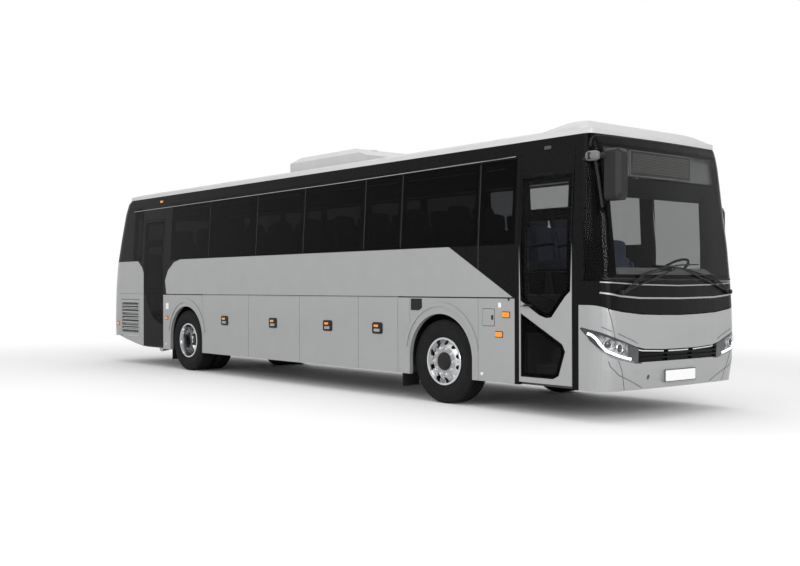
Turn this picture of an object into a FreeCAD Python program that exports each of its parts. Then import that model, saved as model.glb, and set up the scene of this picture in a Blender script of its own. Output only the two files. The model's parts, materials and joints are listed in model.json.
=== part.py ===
import FreeCAD, Part
import os
from math import acos, cos, hypot, pi, radians, sin, sqrt

# High-floor coach, millimetres. +X is forward, +Y is the coach's left, +Z is up.
# The origin is on the ground, midway along the length and the width.

V = FreeCAD.Vector
ORIGIN = V(0, 0, 0)
AXIS_X = V(1, 0, 0)
AXIS_Y = V(0, 1, 0)
AXIS_Z = V(0, 0, 1)

# Overall size
FRONT_X = 6000.0
REAR_X = -6000.0
HALF_W = 1275.0
WALL = 55.0
TUMBLE = 70.0

# Heights of the side, from the skirt to the roof
SKIRT_Z = 335.0
BELT_Z = 1315.0
SILL_Z = 1935.0
GLASS_TOP_Z = 2920.0
RAIL_Z = 2945.0
CANT_Z = 3100.0
CROWN_Z = 3300.0
DECK_Z = 1345.0
DECK_THICK = 60.0
PLATFORM_Z = 910.0
PLATFORM_THICK = 50.0

# Clearances
SEAM = 4.0
MOVE_GAP = 6.0
SWING_GAP = 4.0
RUN_GAP = 0.3
OVERRUN = 50.0

# Skin layers
GLASS = 12.0
PLATE = 30.0

# Wheels and axles
TYRE_SIDES = 40
WHEEL_SIDES = 24
HOLE_SIDES = 10
FRONT_AXLE_X = 3310.0
REAR_AXLE_X = -2990.0
TYRE_R = 522.0
TYRE_W = 298.0
BEAD_R = 285.0
RIM_HALF_W = 126.0
FRONT_TRACK_Y = 1075.0
TWIN_OUTER_Y = 1091.0
TWIN_SPACING = 336.0
KINGPIN_Y = 960.0
ARCH_R = 550.0
ARCH_Z = 565.0
WHEELHOUSE_Y = 530.0
FRONT_HOUSE_X0 = 2560.0
FRONT_HOUSE_X1 = 3960.0

# Front end, as heights and the forward reach of the nose at each
NOSE_Z = [SKIRT_Z, 560.0, 800.0, 1180.0, 1515.0, 1940.0, 2340.0, 2650.0, 2860.0, 3000.0, CANT_Z]
NOSE_X = [5789.0, 5824.0, 5834.0, 5829.0, 5809.0, 5769.0, 5724.0, 5690.0, 5658.0, 5620.0, 5572.0]
NOSE_CORNER_R = [219.0, 219.0, 219.0, 219.0, 219.0, 219.0, 210.0, 190.0, 160.0, 122.0, 82.0]
NOSE_SWEEP = 4.0
CORNER_CHORDS = 7
BARREL_CHORDS = 6
NOSE_JOIN_X = 5430.0

# Rear end, as heights and the rearward reach of the tail at each
TAIL_Z = [SKIRT_Z, 520.0, 740.0, 1180.0, 1500.0, 1780.0, 2370.0, 2850.0, 3040.0, CANT_Z]
TAIL_X = [5960.0, 5985.0, -REAR_X, 5990.0, 5965.0, 5920.0, 5790.0, 5660.0, 5560.0, 5450.0]
TAIL_CORNER_R = 350.0
TAIL_JOIN_LOW_X = 5530.0
TAIL_JOIN_HIGH_X = 5050.0

# Roof
ROOF_SHOULDER_Z = 3215.0
ROOF_SHOULDER_Y = 1000.0
ROOF_EDGE_Z = 3165.0
ROOF_EDGE_Y = 1165.0
ROOF_FRONT = [(5600.0, 3080.0), (5530.0, 3160.0), (5400.0, 3212.0), (5150.0, 3255.0), (4700.0, 3282.0)]
ROOF_REAR = [(-5500.0, 3080.0), (-5380.0, 3150.0), (-5150.0, 3205.0), (-4800.0, 3245.0), (-4200.0, 3280.0)]

# Seams along the side, rear to front
REAR_DOOR_X0 = -4570.0
REAR_DOOR_X1 = -3810.0
REAR_DOOR_TOP_Z = 2685.0
FRONT_DOOR_X0 = 4590.0
FRONT_DOOR_X1 = 5350.0
FRONT_DOOR_TOP_Z = 2710.0
FLAP_SEAMS_X = [-2420.0, -1010.0, 360.0, 1720.0, 2530.0]
POST_SEAM_X = 2760.0
SERVICE_SEAM_X = 3960.0
DOOR_PILLAR_X = 4530.0
WINDOW_SEAMS_X = [-3550.0, -2240.0, -960.0, 410.0, 1780.0, 2560.0, 3940.0, 4530.0]
QUARTER_X1 = -4640.0
WINDOW_BORDER = 60.0

# Hinges with a round bead in a socket rail, used by every top-hung flap
BEAD_HINGE_R = 5.0
BEAD_HINGE_DEPTH = 7.0
BEAD_NECK = 4.0
BEAD_FLAP_DROP = 8.0
BEAD_RAIL_DROP = 3.5
BEAD_RAIL_RISE = 12.0

# Engine bay
GRILLE_X0 = -5500.0
GRILLE_X1 = -4730.0
GRILLE_Z0 = 530.0
GRILLE_Z1 = 1210.0
LOUVRES = 9
LID_HALF_W = 850.0
LID_Z0 = 600.0
LID_Z1 = 1420.0
ENGINE_BOX = (-5650.0, -4700.0, -420.0, 420.0, 480.0, 1180.0)

# Swing-out doors: a turning column, two arms and a leaf that stays parallel
DOOR_ARM_REACH = 410.0
DOOR_ELBOW_REACH = 185.0
DOOR_ELBOW_ANGLE = 120.0
DOOR_COLUMN_IN_X = 80.0
DOOR_COLUMN_IN_Y = 130.0
DOOR_COLUMN_R = 22.0
DOOR_ARM_R = 16.0
DOOR_PIN_R = 10.0
DOOR_BOSS_R = 20.0
DOOR_BOSS_HALF = 30.0
STEP_Z = 370.0

# Twin frames, axles and steering
RAIL_Y0 = 380.0
RAIL_Y1 = 450.0
FRAME_Z0 = 640.0
FRAME_Z1 = 780.0
EYE_R = 45.0
EYE_HALF = 72.0
KINGPIN_R = 24.0
STUB_R = 40.0
EAR_THICK = 30.0
STEER_ARM = 170.0
TIE_ROD_R = 18.0
TIE_PIN_R = 11.0
TIE_EYE_R = 22.0
TIE_EYE_HALF = 20.0


def block(x0, x1, y0, y1, z0, z1):
    """Box between two opposite corners."""
    return Part.makeBox(x1 - x0, y1 - y0, z1 - z0, V(x0, y0, z0))


def polygon(points):
    """Flat face from a list of corner points."""
    return Part.Face(Part.makePolygon([V(*p) for p in points] + [V(*points[0])]))


def prism_x(points_yz, x0, x1):
    """Outline in Y and Z, drawn out along X."""
    return polygon([(x0, y, z) for y, z in points_yz]).extrude(AXIS_X * (x1 - x0))


def prism_y(points_xz, y0, y1):
    """Outline in X and Z, drawn out along Y."""
    return polygon([(x, y0, z) for x, z in points_xz]).extrude(AXIS_Y * (y1 - y0))


def rod(start, end, radius):
    """Round bar between two points."""
    run = end - start
    return Part.makeCylinder(radius, run.Length, start, run)


def mirrored(shape):
    """The same piece on the coach's other side."""
    return shape.mirror(ORIGIN, AXIS_Y)


def fused(shapes):
    """One solid from pieces that share faces or overlap."""
    whole = shapes[0]
    if len(shapes) > 1:
        whole = shapes[0].multiFuse(shapes[1:])
    return whole.removeSplitter()


def save(name, shapes):
    """Write one sub-part; a list gives separate solids in one file."""
    solids = []
    for shape in shapes if isinstance(shapes, list) else [shapes]:
        solids.extend(shape.Solids)
    body = solids[0] if len(solids) == 1 else Part.makeCompound(solids)
    body.exportStep(os.path.join("parts", name + ".step"))
    print(name, len(solids), round(body.Volume / 1e6, 2), "litres", "valid" if body.isValid() else "INVALID")


def between(z, heights, values):
    """Straight-line value at a height in a profile."""
    for i in range(len(heights) - 1):
        if z <= heights[i + 1]:
            share = (z - heights[i]) / (heights[i + 1] - heights[i])
            return values[i] + share * (values[i + 1] - values[i])
    return values[-1]


def side_y(z):
    """Half width of the outer skin at a height."""
    return HALF_W - TUMBLE * max(0.0, z - SILL_Z) / (CANT_Z - SILL_Z)


def side_strip(x0, x1, z0, z1, outer=0.0, inner=WALL):
    """Length of the right-hand wall between two heights and two depths below the skin."""
    heights = [z0] + [z for z in (SILL_Z,) if z0 < z < z1] + [z1]
    skin = [(-side_y(z) + outer, z) for z in heights]
    lining = [(-side_y(z) + inner, z) for z in reversed(heights)]
    return prism_x(skin + lining, x0, x1)


def nose_x(z):
    """Forward reach of the front skin on the centre line."""
    return between(z, NOSE_Z, NOSE_X)


def tail_x(z):
    """Rearward reach of the rear skin, as a positive distance."""
    return between(z, TAIL_Z, TAIL_X)


def corner_r(front, z):
    """Corner radius of an end skin in plan at a height."""
    return between(z, NOSE_Z, NOSE_CORNER_R) if front else TAIL_CORNER_R


def end_points(front, z, depth, join):
    """Plan outline of an end skin, from the right join round to the left one."""
    swing = radians(NOSE_SWEEP) if front else 0.0
    sign, reach = (1.0, nose_x(z)) if front else (-1.0, tail_x(z))
    full_corner = corner_r(front, z)
    corner = full_corner - depth
    corner_y = side_y(z) - full_corner
    right = [(join, side_y(z) - depth)]
    if front:
        barrel = corner_y / sin(swing) + full_corner
        hub_x = reach - barrel
        corner_x = hub_x + (barrel - full_corner) * cos(swing)
    else:
        corner_x = reach - full_corner
    for i in range(CORNER_CHORDS + 1):
        angle = pi / 2 + (swing - pi / 2) * i / CORNER_CHORDS
        right.append((corner_x + corner * cos(angle), corner_y + corner * sin(angle)))
    middle = []
    if front:
        for i in range(1, BARREL_CHORDS):
            angle = swing - 2 * swing * i / BARREL_CHORDS
            middle.append((hub_x + (barrel - depth) * cos(angle), (barrel - depth) * sin(angle)))
    points = [(x, -y) for x, y in right + middle] + [(x, y) for x, y in reversed(right)]
    return [V(sign * x, y, z) for x, y in points]


def flat_or_split(corners):
    """One flat face over four corners, or two triangles where they are not in one plane."""
    ring = []
    for corner in corners:
        if not ring or (corner - ring[-1]).Length > RUN_GAP / 100:
            ring.append(corner)
    if (ring[0] - ring[-1]).Length < RUN_GAP / 100:
        ring.pop()
    if len(ring) < 3:
        return []
    if len(ring) == 4:
        normal = (ring[1] - ring[0]).cross(ring[2] - ring[0]).normalize()
        if abs(normal.dot(ring[3] - ring[0])) > RUN_GAP / 100:
            halves = [[ring[0], ring[1], ring[2]], [ring[0], ring[2], ring[3]]]
            return [Part.Face(Part.makePolygon(half + [half[0]])) for half in halves]
    return [Part.Face(Part.makePolygon(ring + [ring[0]]))]


def closed_solid(faces):
    """Solid from faces that meet edge to edge."""
    shell = Part.makeShell(faces)
    shell.sewShape()
    solid = Part.makeSolid(shell)
    return solid if solid.Volume > 0 else solid.reversed()


def skinned(loops, capped):
    """Solid over a row of like loops of points, each band flat-sided."""
    faces = []
    for low, high in zip(loops[:-1], loops[1:]):
        for i in range(len(low)):
            j = (i + 1) % len(low)
            faces.extend(flat_or_split([low[i], low[j], high[j], high[i]]))
    if capped:
        for loop in (loops[0], loops[-1]):
            faces.append(Part.Face(Part.makePolygon(loop + [loop[0]])))
    return closed_solid(faces)


def stations(front, z0, z1):
    """Heights at which an end skin changes slope."""
    marks = NOSE_Z if front else TAIL_Z
    return [z0] + [z for z in marks if z0 < z < z1] + [z1]


def end_ring(front, z0, z1, outer=0.0, inner=WALL, join=None):
    """Front or rear skin between two heights and two depths, as one U-shaped wall."""
    if join is None:
        join = NOSE_JOIN_X if front else TAIL_JOIN_LOW_X
    loops = []
    for z in stations(front, z0, z1):
        skin = end_points(front, z, outer, join)
        lining = end_points(front, z, inner, join)
        loops.append(skin + list(reversed(lining)))
    return skinned(loops, True)


def end_core(front, z0, z1, depth, join):
    """Everything inside an end skin, used to trim what fills the end."""
    return skinned([end_points(front, z, depth, join) for z in stations(front, z0, z1)], True)


# Round-bead hinge, drawn with the skin on the plane Y = 0, outward along -Y and the pin line on X
def bead_strip(length):
    """Bead and neck along the top edge of a flap."""
    bead = Part.makeCylinder(BEAD_HINGE_R, length, V(0, BEAD_HINGE_DEPTH, 0), AXIS_X)
    half_neck = BEAD_NECK / 2
    neck = block(0, length, BEAD_HINGE_DEPTH - half_neck, BEAD_HINGE_DEPTH + half_neck, -BEAD_FLAP_DROP, 0)
    return bead.fuse(neck)


def bead_rail(length):
    """Fixed rail with the socket that the bead turns in."""
    rail = block(0, length, BEAD_HINGE_DEPTH, WALL, -BEAD_RAIL_DROP, BEAD_RAIL_RISE)
    socket = Part.makeCylinder(BEAD_HINGE_R + RUN_GAP, length, V(0, BEAD_HINGE_DEPTH, 0), AXIS_X)
    return rail.cut(socket)


def on_side(shape, x, z):
    """Move a hinge piece to the right-hand skin."""
    moved = shape.copy()
    moved.translate(V(x, -HALF_W, z))
    return moved


def on_tail(shape, y, z):
    """Move a hinge piece to the rear skin."""
    moved = shape.copy()
    moved.rotate(ORIGIN, AXIS_Z, -90)
    moved.translate(V(-tail_x(z), y, z))
    return moved


def arch_cut(x):
    """Wheel arch opening through both walls."""
    hole = Part.makeCylinder(ARCH_R, 2 * (HALF_W + OVERRUN), V(x, -HALF_W - OVERRUN, ARCH_Z), AXIS_Y)
    legs = block(x - ARCH_R, x + ARCH_R, -HALF_W - OVERRUN, HALF_W + OVERRUN, 0, ARCH_Z)
    return hole.fuse(legs)


# Colour line of the waist: grey behind and below it, black ahead and above
WAIST_DIAGONAL = [(3470.0, SILL_Z), (4520.0, BELT_Z)]
WAIST_REAR_CURVE = [(-3690.0, BELT_Z), (-3740.0, 1570.0), (-3630.0, 1750.0), (-3410.0, 1890.0), (-3190.0, SILL_Z)]
QUARTER_CURVE = [(-4530.0, BELT_Z), (-4530.0, 1650.0), (-4630.0, 1820.0), (-4790.0, SILL_Z)]
WAIST_Z = BELT_Z + BEAD_RAIL_RISE


def waist_zone():
    """Outline of the grey waist between the doors, as a block through the right-hand wall."""
    points = WAIST_REAR_CURVE + WAIST_DIAGONAL
    return prism_y(points, -HALF_W - OVERRUN, 0)


def quarter_zone():
    """Outline of the grey panel behind the rear door."""
    points = [(-TAIL_JOIN_LOW_X - OVERRUN, BELT_Z)] + QUARTER_CURVE
    points.append((-TAIL_JOIN_LOW_X - OVERRUN, SILL_Z))
    return prism_y(points, -HALF_W - OVERRUN, 0)


def pane_spans():
    """Start and end of each pane in the window band."""
    spans = []
    for x0, x1 in zip(WINDOW_SEAMS_X[:-1], WINDOW_SEAMS_X[1:]):
        spans.append((x0 + SEAM / 2, x1 - SEAM / 2))
    return spans


def glazed(frame, panes):
    """Cut the pocket and the daylight opening of each pane, given as (x0, x1, z0, z1)."""
    cuts = []
    for x0, x1, z0, z1 in panes:
        cuts.append(side_strip(x0, x1, z0, z1, -OVERRUN, GLASS))
        hole = side_strip(x0 + WINDOW_BORDER, x1 - WINDOW_BORDER, z0 + WINDOW_BORDER, z1 - WINDOW_BORDER,
                          0, WALL + OVERRUN)
        cuts.append(hole)
    return frame.cut(Part.makeCompound(cuts))


def side_panes(panes):
    """Bonded glass for the same list."""
    return [side_strip(x0, x1, z0, z1, 0, GLASS) for x0, x1, z0, z1 in panes]


def right_band_parts():
    """Window band of the right side: ahead of the rear door, and the quarter behind it."""
    band = side_strip(REAR_DOOR_X1, FRONT_DOOR_X0, WAIST_Z, RAIL_Z).cut(waist_zone())
    quarter_band = side_strip(-TAIL_JOIN_HIGH_X + SEAM, REAR_DOOR_X0, SILL_Z, RAIL_Z)
    quarter_low = side_strip(-TAIL_JOIN_LOW_X, REAR_DOOR_X0, WAIST_Z, SILL_Z)
    quarter = fused([quarter_band, quarter_low.cut(quarter_zone())])
    panes = [(x0, x1, SILL_Z, GLASS_TOP_Z) for x0, x1 in pane_spans()]
    quarter_pane = [(-TAIL_JOIN_HIGH_X + WINDOW_BORDER, QUARTER_X1, SILL_Z, GLASS_TOP_Z)]
    return [glazed(band, panes), glazed(quarter, quarter_pane)], side_panes(panes + quarter_pane)


def left_band_parts():
    """Window band of the left side, with the driver's window."""
    tall = side_strip(-TAIL_JOIN_HIGH_X + SEAM, NOSE_JOIN_X, SILL_Z, RAIL_Z)
    low = side_strip(-TAIL_JOIN_LOW_X, NOSE_JOIN_X, WAIST_Z, SILL_Z).cut(left_waist_zone())
    panes = [(x0, x1, SILL_Z, GLASS_TOP_Z) for x0, x1 in pane_spans()]
    panes.append((-TAIL_JOIN_HIGH_X + WINDOW_BORDER, WINDOW_SEAMS_X[0] - SEAM / 2, SILL_Z, GLASS_TOP_Z))
    panes.append((DRIVER_WINDOW_X0, DRIVER_WINDOW_X1, DRIVER_WINDOW_Z0, DRIVER_WINDOW_Z1))
    frame = mirrored(glazed(fused([tall, low]), panes))
    return [frame], [mirrored(pane) for pane in side_panes(panes)]


def waist_panels():
    """Grey panels between the belt seam and the sill, right ones first."""
    waist = side_strip(REAR_DOOR_X1, FRONT_DOOR_X0, WAIST_Z, SILL_Z).common(waist_zone())
    quarter = side_strip(-TAIL_JOIN_LOW_X, REAR_DOOR_X0, WAIST_Z, SILL_Z).common(quarter_zone())
    left = side_strip(-TAIL_JOIN_LOW_X, NOSE_JOIN_X, WAIST_Z, SILL_Z).common(left_waist_zone())
    return [waist, quarter, mirrored(left)]


DRIVER_WINDOW_X0 = 4600.0
DRIVER_WINDOW_X1 = 5370.0
DRIVER_WINDOW_Z0 = 1480.0
DRIVER_WINDOW_Z1 = 2700.0


def left_waist_zone():
    """Grey waist of the left side, drawn on the right before mirroring."""
    points = [(-TAIL_JOIN_LOW_X - OVERRUN, BELT_Z), (-TAIL_JOIN_LOW_X - OVERRUN, SILL_Z)] + WAIST_DIAGONAL
    return prism_y(points, -HALF_W - OVERRUN, 0)


def cant_rails():
    """Black rails above the windows, with the headers over the doors."""
    rail = side_strip(-TAIL_JOIN_HIGH_X + SEAM, NOSE_JOIN_X, RAIL_Z + SEAM, CANT_Z)
    headers = []
    for x0, x1, top in ((REAR_DOOR_X0, REAR_DOOR_X1, REAR_DOOR_TOP_Z),
                        (FRONT_DOOR_X0, FRONT_DOOR_X1, FRONT_DOOR_TOP_Z)):
        headers.append(side_strip(x0 + SEAM, x1 - SEAM, top, RAIL_Z + SEAM))
    return [fused([rail] + headers), mirrored(rail)]


SKIRT_RISE = [(-4470.0, SKIRT_Z), (-4870.0, 390.0), (-5290.0, 460.0), (-TAIL_JOIN_LOW_X, 510.0)]


def skirt_rise_cut():
    """What the rising rear skirt line takes off the side wall."""
    points = SKIRT_RISE + [(-TAIL_JOIN_LOW_X, 0), (SKIRT_RISE[0][0], 0)]
    return prism_y(points, -HALF_W - OVERRUN, 0)


def lower_wall(x0, x1):
    """Fixed piece of the lower wall between two seams."""
    return side_strip(x0 + SEAM / 2, x1 - SEAM / 2, SKIRT_Z, BELT_Z - BEAD_RAIL_DROP)


def grille_opening():
    """Opening in the lower wall for the side grille flap and its rail."""
    return side_strip(GRILLE_X0 - MOVE_GAP, GRILLE_X1 + MOVE_GAP, GRILLE_Z0 - MOVE_GAP - SWING_GAP,
                      GRILLE_Z1 + BEAD_RAIL_RISE, -OVERRUN, WALL + OVERRUN)


def lower_panels():
    """Arch, post, service and quarter panels of both sides."""
    top = WAIST_Z - SEAM
    quarter = side_strip(-TAIL_JOIN_LOW_X, REAR_DOOR_X0, SKIRT_Z, top)
    quarter = quarter.cut(skirt_rise_cut()).cut(grille_opening())
    rear_arch = lower_wall(REAR_DOOR_X1, FLAP_SEAMS_X[0]).cut(arch_cut(REAR_AXLE_X))
    post = lower_wall(FLAP_SEAMS_X[-1], POST_SEAM_X)
    front_arch = lower_wall(POST_SEAM_X, SERVICE_SEAM_X).cut(arch_cut(FRONT_AXLE_X))
    service = lower_wall(SERVICE_SEAM_X, DOOR_PILLAR_X)
    left_quarter = side_strip(-TAIL_JOIN_LOW_X, REAR_DOOR_X1 - SEAM / 2, SKIRT_Z, top)
    left_quarter = left_quarter.cut(skirt_rise_cut()).cut(grille_opening())
    cab_side = side_strip(DOOR_PILLAR_X + SEAM / 2, NOSE_JOIN_X, SKIRT_Z, top)
    left = [left_quarter, rear_arch, post, front_arch, service, cab_side]
    return [quarter, rear_arch, post, front_arch, service] + [mirrored(p) for p in left]


def door_posts():
    """Black posts behind and ahead of the front door."""
    return [side_strip(DOOR_PILLAR_X, FRONT_DOOR_X0, SKIRT_Z, WAIST_Z - SEAM),
            side_strip(FRONT_DOOR_X1, NOSE_JOIN_X, SKIRT_Z, RAIL_Z)]


def build_sides():
    """Skin, window frames and glass of both sides and of the rear window."""
    right_frames, right_glass = right_band_parts()
    left_frames, left_glass = left_band_parts()
    rear_frame, rear_glass = rear_window_parts()
    save("window_frames", right_frames + left_frames + cant_rails() + door_posts())
    save("rear_window_frame", rear_frame)
    save("tinted_glass", right_glass + left_glass + [rear_glass])
    save("side_panels", waist_panels() + lower_panels())


FLAP_NAMES = ["luggage_flap_1", "luggage_flap_2", "luggage_flap_3", "luggage_flap_4"]


def build_flaps():
    """Eight top-hung luggage flaps and the rails that carry them."""
    for name, x0, x1 in zip(FLAP_NAMES, FLAP_SEAMS_X[:-1], FLAP_SEAMS_X[1:]):
        x0, x1 = x0 + MOVE_GAP / 2, x1 - MOVE_GAP / 2
        skin = side_strip(x0, x1, SKIRT_Z, BELT_Z - BEAD_FLAP_DROP)
        flap = fused([skin, on_side(bead_strip(x1 - x0), x0, BELT_Z)])
        save(name + "_right", flap)
        save(name + "_left", mirrored(flap))
    rail = on_side(bead_rail(FLAP_SEAMS_X[-1] - FLAP_SEAMS_X[0]), FLAP_SEAMS_X[0], BELT_Z)
    grille_rail = on_side(bead_rail(GRILLE_X1 - GRILLE_X0 + 2 * MOVE_GAP), GRILLE_X0 - MOVE_GAP, GRILLE_Z1)
    lid_rail = on_tail(bead_rail(2 * (LID_HALF_W + MOVE_GAP)), LID_HALF_W + MOVE_GAP, LID_Z1)
    save("hinge_rails", [rail, mirrored(rail), grille_rail, mirrored(grille_rail), lid_rail])


LOUVRE_FRAME = 45.0
LOUVRE_THICK = 14.0
LOUVRE_LEAN = 40.0


def build_side_grilles():
    """Louvred flap over each side of the engine bay."""
    z1 = GRILLE_Z1 - BEAD_FLAP_DROP
    whole = side_strip(GRILLE_X0, GRILLE_X1, GRILLE_Z0, z1)
    inside = (GRILLE_X0 + LOUVRE_FRAME, GRILLE_X1 - LOUVRE_FRAME, GRILLE_Z0 + LOUVRE_FRAME, z1 - LOUVRE_FRAME)
    frame = whole.cut(side_strip(*inside, -OVERRUN, WALL + OVERRUN))
    pitch = (inside[3] - inside[2]) / LOUVRES
    blades = []
    for i in range(LOUVRES):
        z = inside[2] + i * pitch
        outline = [(-HALF_W, z), (-HALF_W, z + LOUVRE_THICK), (-HALF_W + WALL, z + LOUVRE_THICK + LOUVRE_LEAN),
                   (-HALF_W + WALL, z + LOUVRE_LEAN)]
        blades.append(prism_x(outline, inside[0], inside[1]))
    bead = on_side(bead_strip(GRILLE_X1 - GRILLE_X0), GRILLE_X0, GRILLE_Z1)
    flap = fused([frame] + blades + [bead])
    save("side_grille_right", flap)
    save("side_grille_left", mirrored(flap))


# Number plate seats and tow sockets
PLATE_X = 5826.0
PLATE_HALF_Y = 300.0
PLATE_Z0 = 400.0
PLATE_Z1 = 530.0
LID_PLATE_Z0 = 880.0
LID_PLATE_Z1 = 1010.0
TOW_R = 26.0
TOW_Y = -560.0
TOW_Z = 465.0

# Front end zones
BELT_LINE = [(0.0, 1140.0), (400.0, 1147.0), (720.0, 1158.0), (1045.0, 1192.0), (1200.0, 1222.0), (1330.0, 1275.0)]
BELT_TOP_Z = 1515.0
FRONT_FLAP_LINE = [(1248.0, BELT_TOP_Z), (1183.0, 1222.0), (1116.0, 906.0), (880.0, 833.0), (810.0, 808.0),
                   (640.0, 777.0), (300.0, 762.0)]
GRILLE_STRIP_Z0 = 632.0
GRILLE_STRIP_Z1 = 830.0
GRILLE_STRIP_Y = 752.0
GRILLE_SPLIT_Y = 238.0
GRILLE_ROWS = 3
GRILLE_DEPTH = 14.0
SCREEN_EDGE_X = 5500.0
SCREEN_HALF_Y = 1060.0
SCREEN_Z0 = 1580.0
SCREEN_Z1 = 2960.0
LAMP_SHAPE = [(2948.0, 1000.0), (2962.0, 1015.0), (3045.0, 993.0), (3141.0, 969.0), (3262.0, 923.0),
              (3475.0, 855.0), (3620.0, 835.0), (3620.0, 618.0), (3545.0, 622.0), (3463.0, 645.0),
              (3355.0, 671.0), (3243.0, 707.0), (3141.0, 769.0), (3064.0, 840.0), (3008.0, 922.0)]


def belt_zone(drop):
    """Everything below the lower edge of the black belt, lowered by a gap."""
    right = [(-y, z - drop) for y, z in reversed(BELT_LINE)]
    left = [(y, z - drop) for y, z in BELT_LINE[1:]]
    edge = BELT_LINE[-1][0]
    return prism_x([(-edge, 0)] + right + left + [(edge, 0)], 0, FRONT_X + OVERRUN)


def lamp_zone():
    """Headlamp outline, drawn on the diagonal of the right-hand corner and pushed through it."""
    root_half = sqrt(0.5)
    points = []
    for s, z in LAMP_SHAPE:
        points.append((s * root_half, s * root_half, z))
    face = polygon(points)
    face.translate(V(root_half, -root_half, 0) * (HALF_W + OVERRUN))
    return face.extrude(V(root_half, -root_half, 0) * (FRONT_X))


def flap_zone(gap):
    """Outline of the front service flap, grown by a gap."""
    right = [(-y - gap, z - gap if z < BELT_TOP_Z else z) for y, z in FRONT_FLAP_LINE]
    left = [(-y, z) for y, z in reversed(right)]
    return prism_x(right + left, NOSE_JOIN_X, FRONT_X + OVERRUN)


FRONT_PIVOT_X = 5705.0
FRONT_PIVOT_Z = 1285.0
FRONT_ARM_Y = 700.0
FRONT_ARM_THICK = 24.0
FRONT_ARM_IN_R = 174.0
FRONT_ARM_OUT_R = 204.0
FRONT_PIN_R = 9.0
FRONT_BOSS_R = 18.0


def front_arm(y):
    """Goose-neck arm that hangs the front flap from a pivot behind the belt."""
    pivot = V(FRONT_PIVOT_X, y, FRONT_PIVOT_Z)
    ring = Part.makeCylinder(FRONT_ARM_OUT_R, FRONT_ARM_THICK, pivot, AXIS_Y)
    ring = ring.cut(Part.makeCylinder(FRONT_ARM_IN_R, FRONT_ARM_THICK, pivot, AXIS_Y))
    reach = FRONT_ARM_OUT_R + OVERRUN
    keep = block(pivot.x - reach, pivot.x + reach, y, y + FRONT_ARM_THICK, pivot.z - reach, pivot.z + FRONT_BOSS_R)
    keep = keep.cut(block(pivot.x, pivot.x + reach, y, y + FRONT_ARM_THICK, pivot.z - FRONT_ARM_IN_R / 2,
                          pivot.z + reach))
    link = block(pivot.x - FRONT_ARM_IN_R - FRONT_BOSS_R, pivot.x, y, y + FRONT_ARM_THICK,
                 pivot.z - FRONT_BOSS_R, pivot.z + FRONT_BOSS_R)
    boss = Part.makeCylinder(FRONT_BOSS_R, FRONT_ARM_THICK, pivot, AXIS_Y)
    arm = fused([ring.common(keep), link, boss])
    return arm.cut(Part.makeCylinder(FRONT_PIN_R + RUN_GAP, FRONT_ARM_THICK, pivot, AXIS_Y))


def build_front():
    """Mask, belt, flap, grille, headlamps and glass of the front end."""
    lower = end_ring(True, SKIRT_Z, BELT_TOP_Z - SEAM)
    below = lower.common(belt_zone(0))
    lamps = [lamp_zone(), mirrored(lamp_zone())]
    grille_hole = block(NOSE_JOIN_X, FRONT_X + OVERRUN, -GRILLE_STRIP_Y, GRILLE_STRIP_Y, GRILLE_STRIP_Z0,
                        GRILLE_STRIP_Z1)
    mask = below.cut(lamps[0]).cut(lamps[1]).cut(grille_hole).cut(flap_zone(MOVE_GAP))
    plate = block(nose_x(PLATE_Z0) - WALL, PLATE_X, -PLATE_HALF_Y, PLATE_HALF_Y, PLATE_Z0, PLATE_Z1)
    plate = plate.cut(end_core(True, SKIRT_Z, BELT_TOP_Z, WALL / 2, NOSE_JOIN_X))
    tow = Part.makeCylinder(TOW_R, 2 * OVERRUN + WALL, V(nose_x(TOW_Z) - 2 * WALL, TOW_Y, TOW_Z), AXIS_X)
    save("front_mask", fused([mask, plate]).cut(tow))
    save("headlamps", [below.common(lamp).cut(grille_hole).cut(flap_zone(MOVE_GAP)) for lamp in lamps])
    belt = lower.cut(belt_zone(0))
    belt = fused([belt] + front_flap_brackets())
    skin = lower.common(belt_zone(FRONT_FLAP_TOP_GAP)).common(flap_zone(0))
    skin = skin.cut(front_flap_bevel())
    arms = [front_arm(FRONT_ARM_Y), front_arm(-FRONT_ARM_Y - FRONT_ARM_THICK)]
    reach = end_core(True, SKIRT_Z, BELT_TOP_Z, WALL / 2, NOSE_JOIN_X)
    save("front_flap", fused([skin] + [arm.common(reach) for arm in arms]))
    build_grille_strip()
    save("screen_surround", [belt, build_screen()])


FRONT_FLAP_TOP_GAP = 10.5
# Depth below the skin, and how far the top edge lies below the belt from that depth on
FRONT_BEVEL = [(2.0, 15.0), (8.0, 20.0), (16.0, 25.0), (26.0, 29.0), (38.0, 33.0)]


def front_flap_bevel():
    """Takes the inner top edge off the front flap, so that it swings out under the belt."""
    steps = []
    for depth, drop in FRONT_BEVEL:
        core = end_core(True, SKIRT_Z, BELT_TOP_Z, depth, NOSE_JOIN_X)
        steps.append(core.cut(belt_zone(drop)))
    return steps[0].multiFuse(steps[1:])


FRONT_BRACKET_THICK = 20.0


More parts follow.
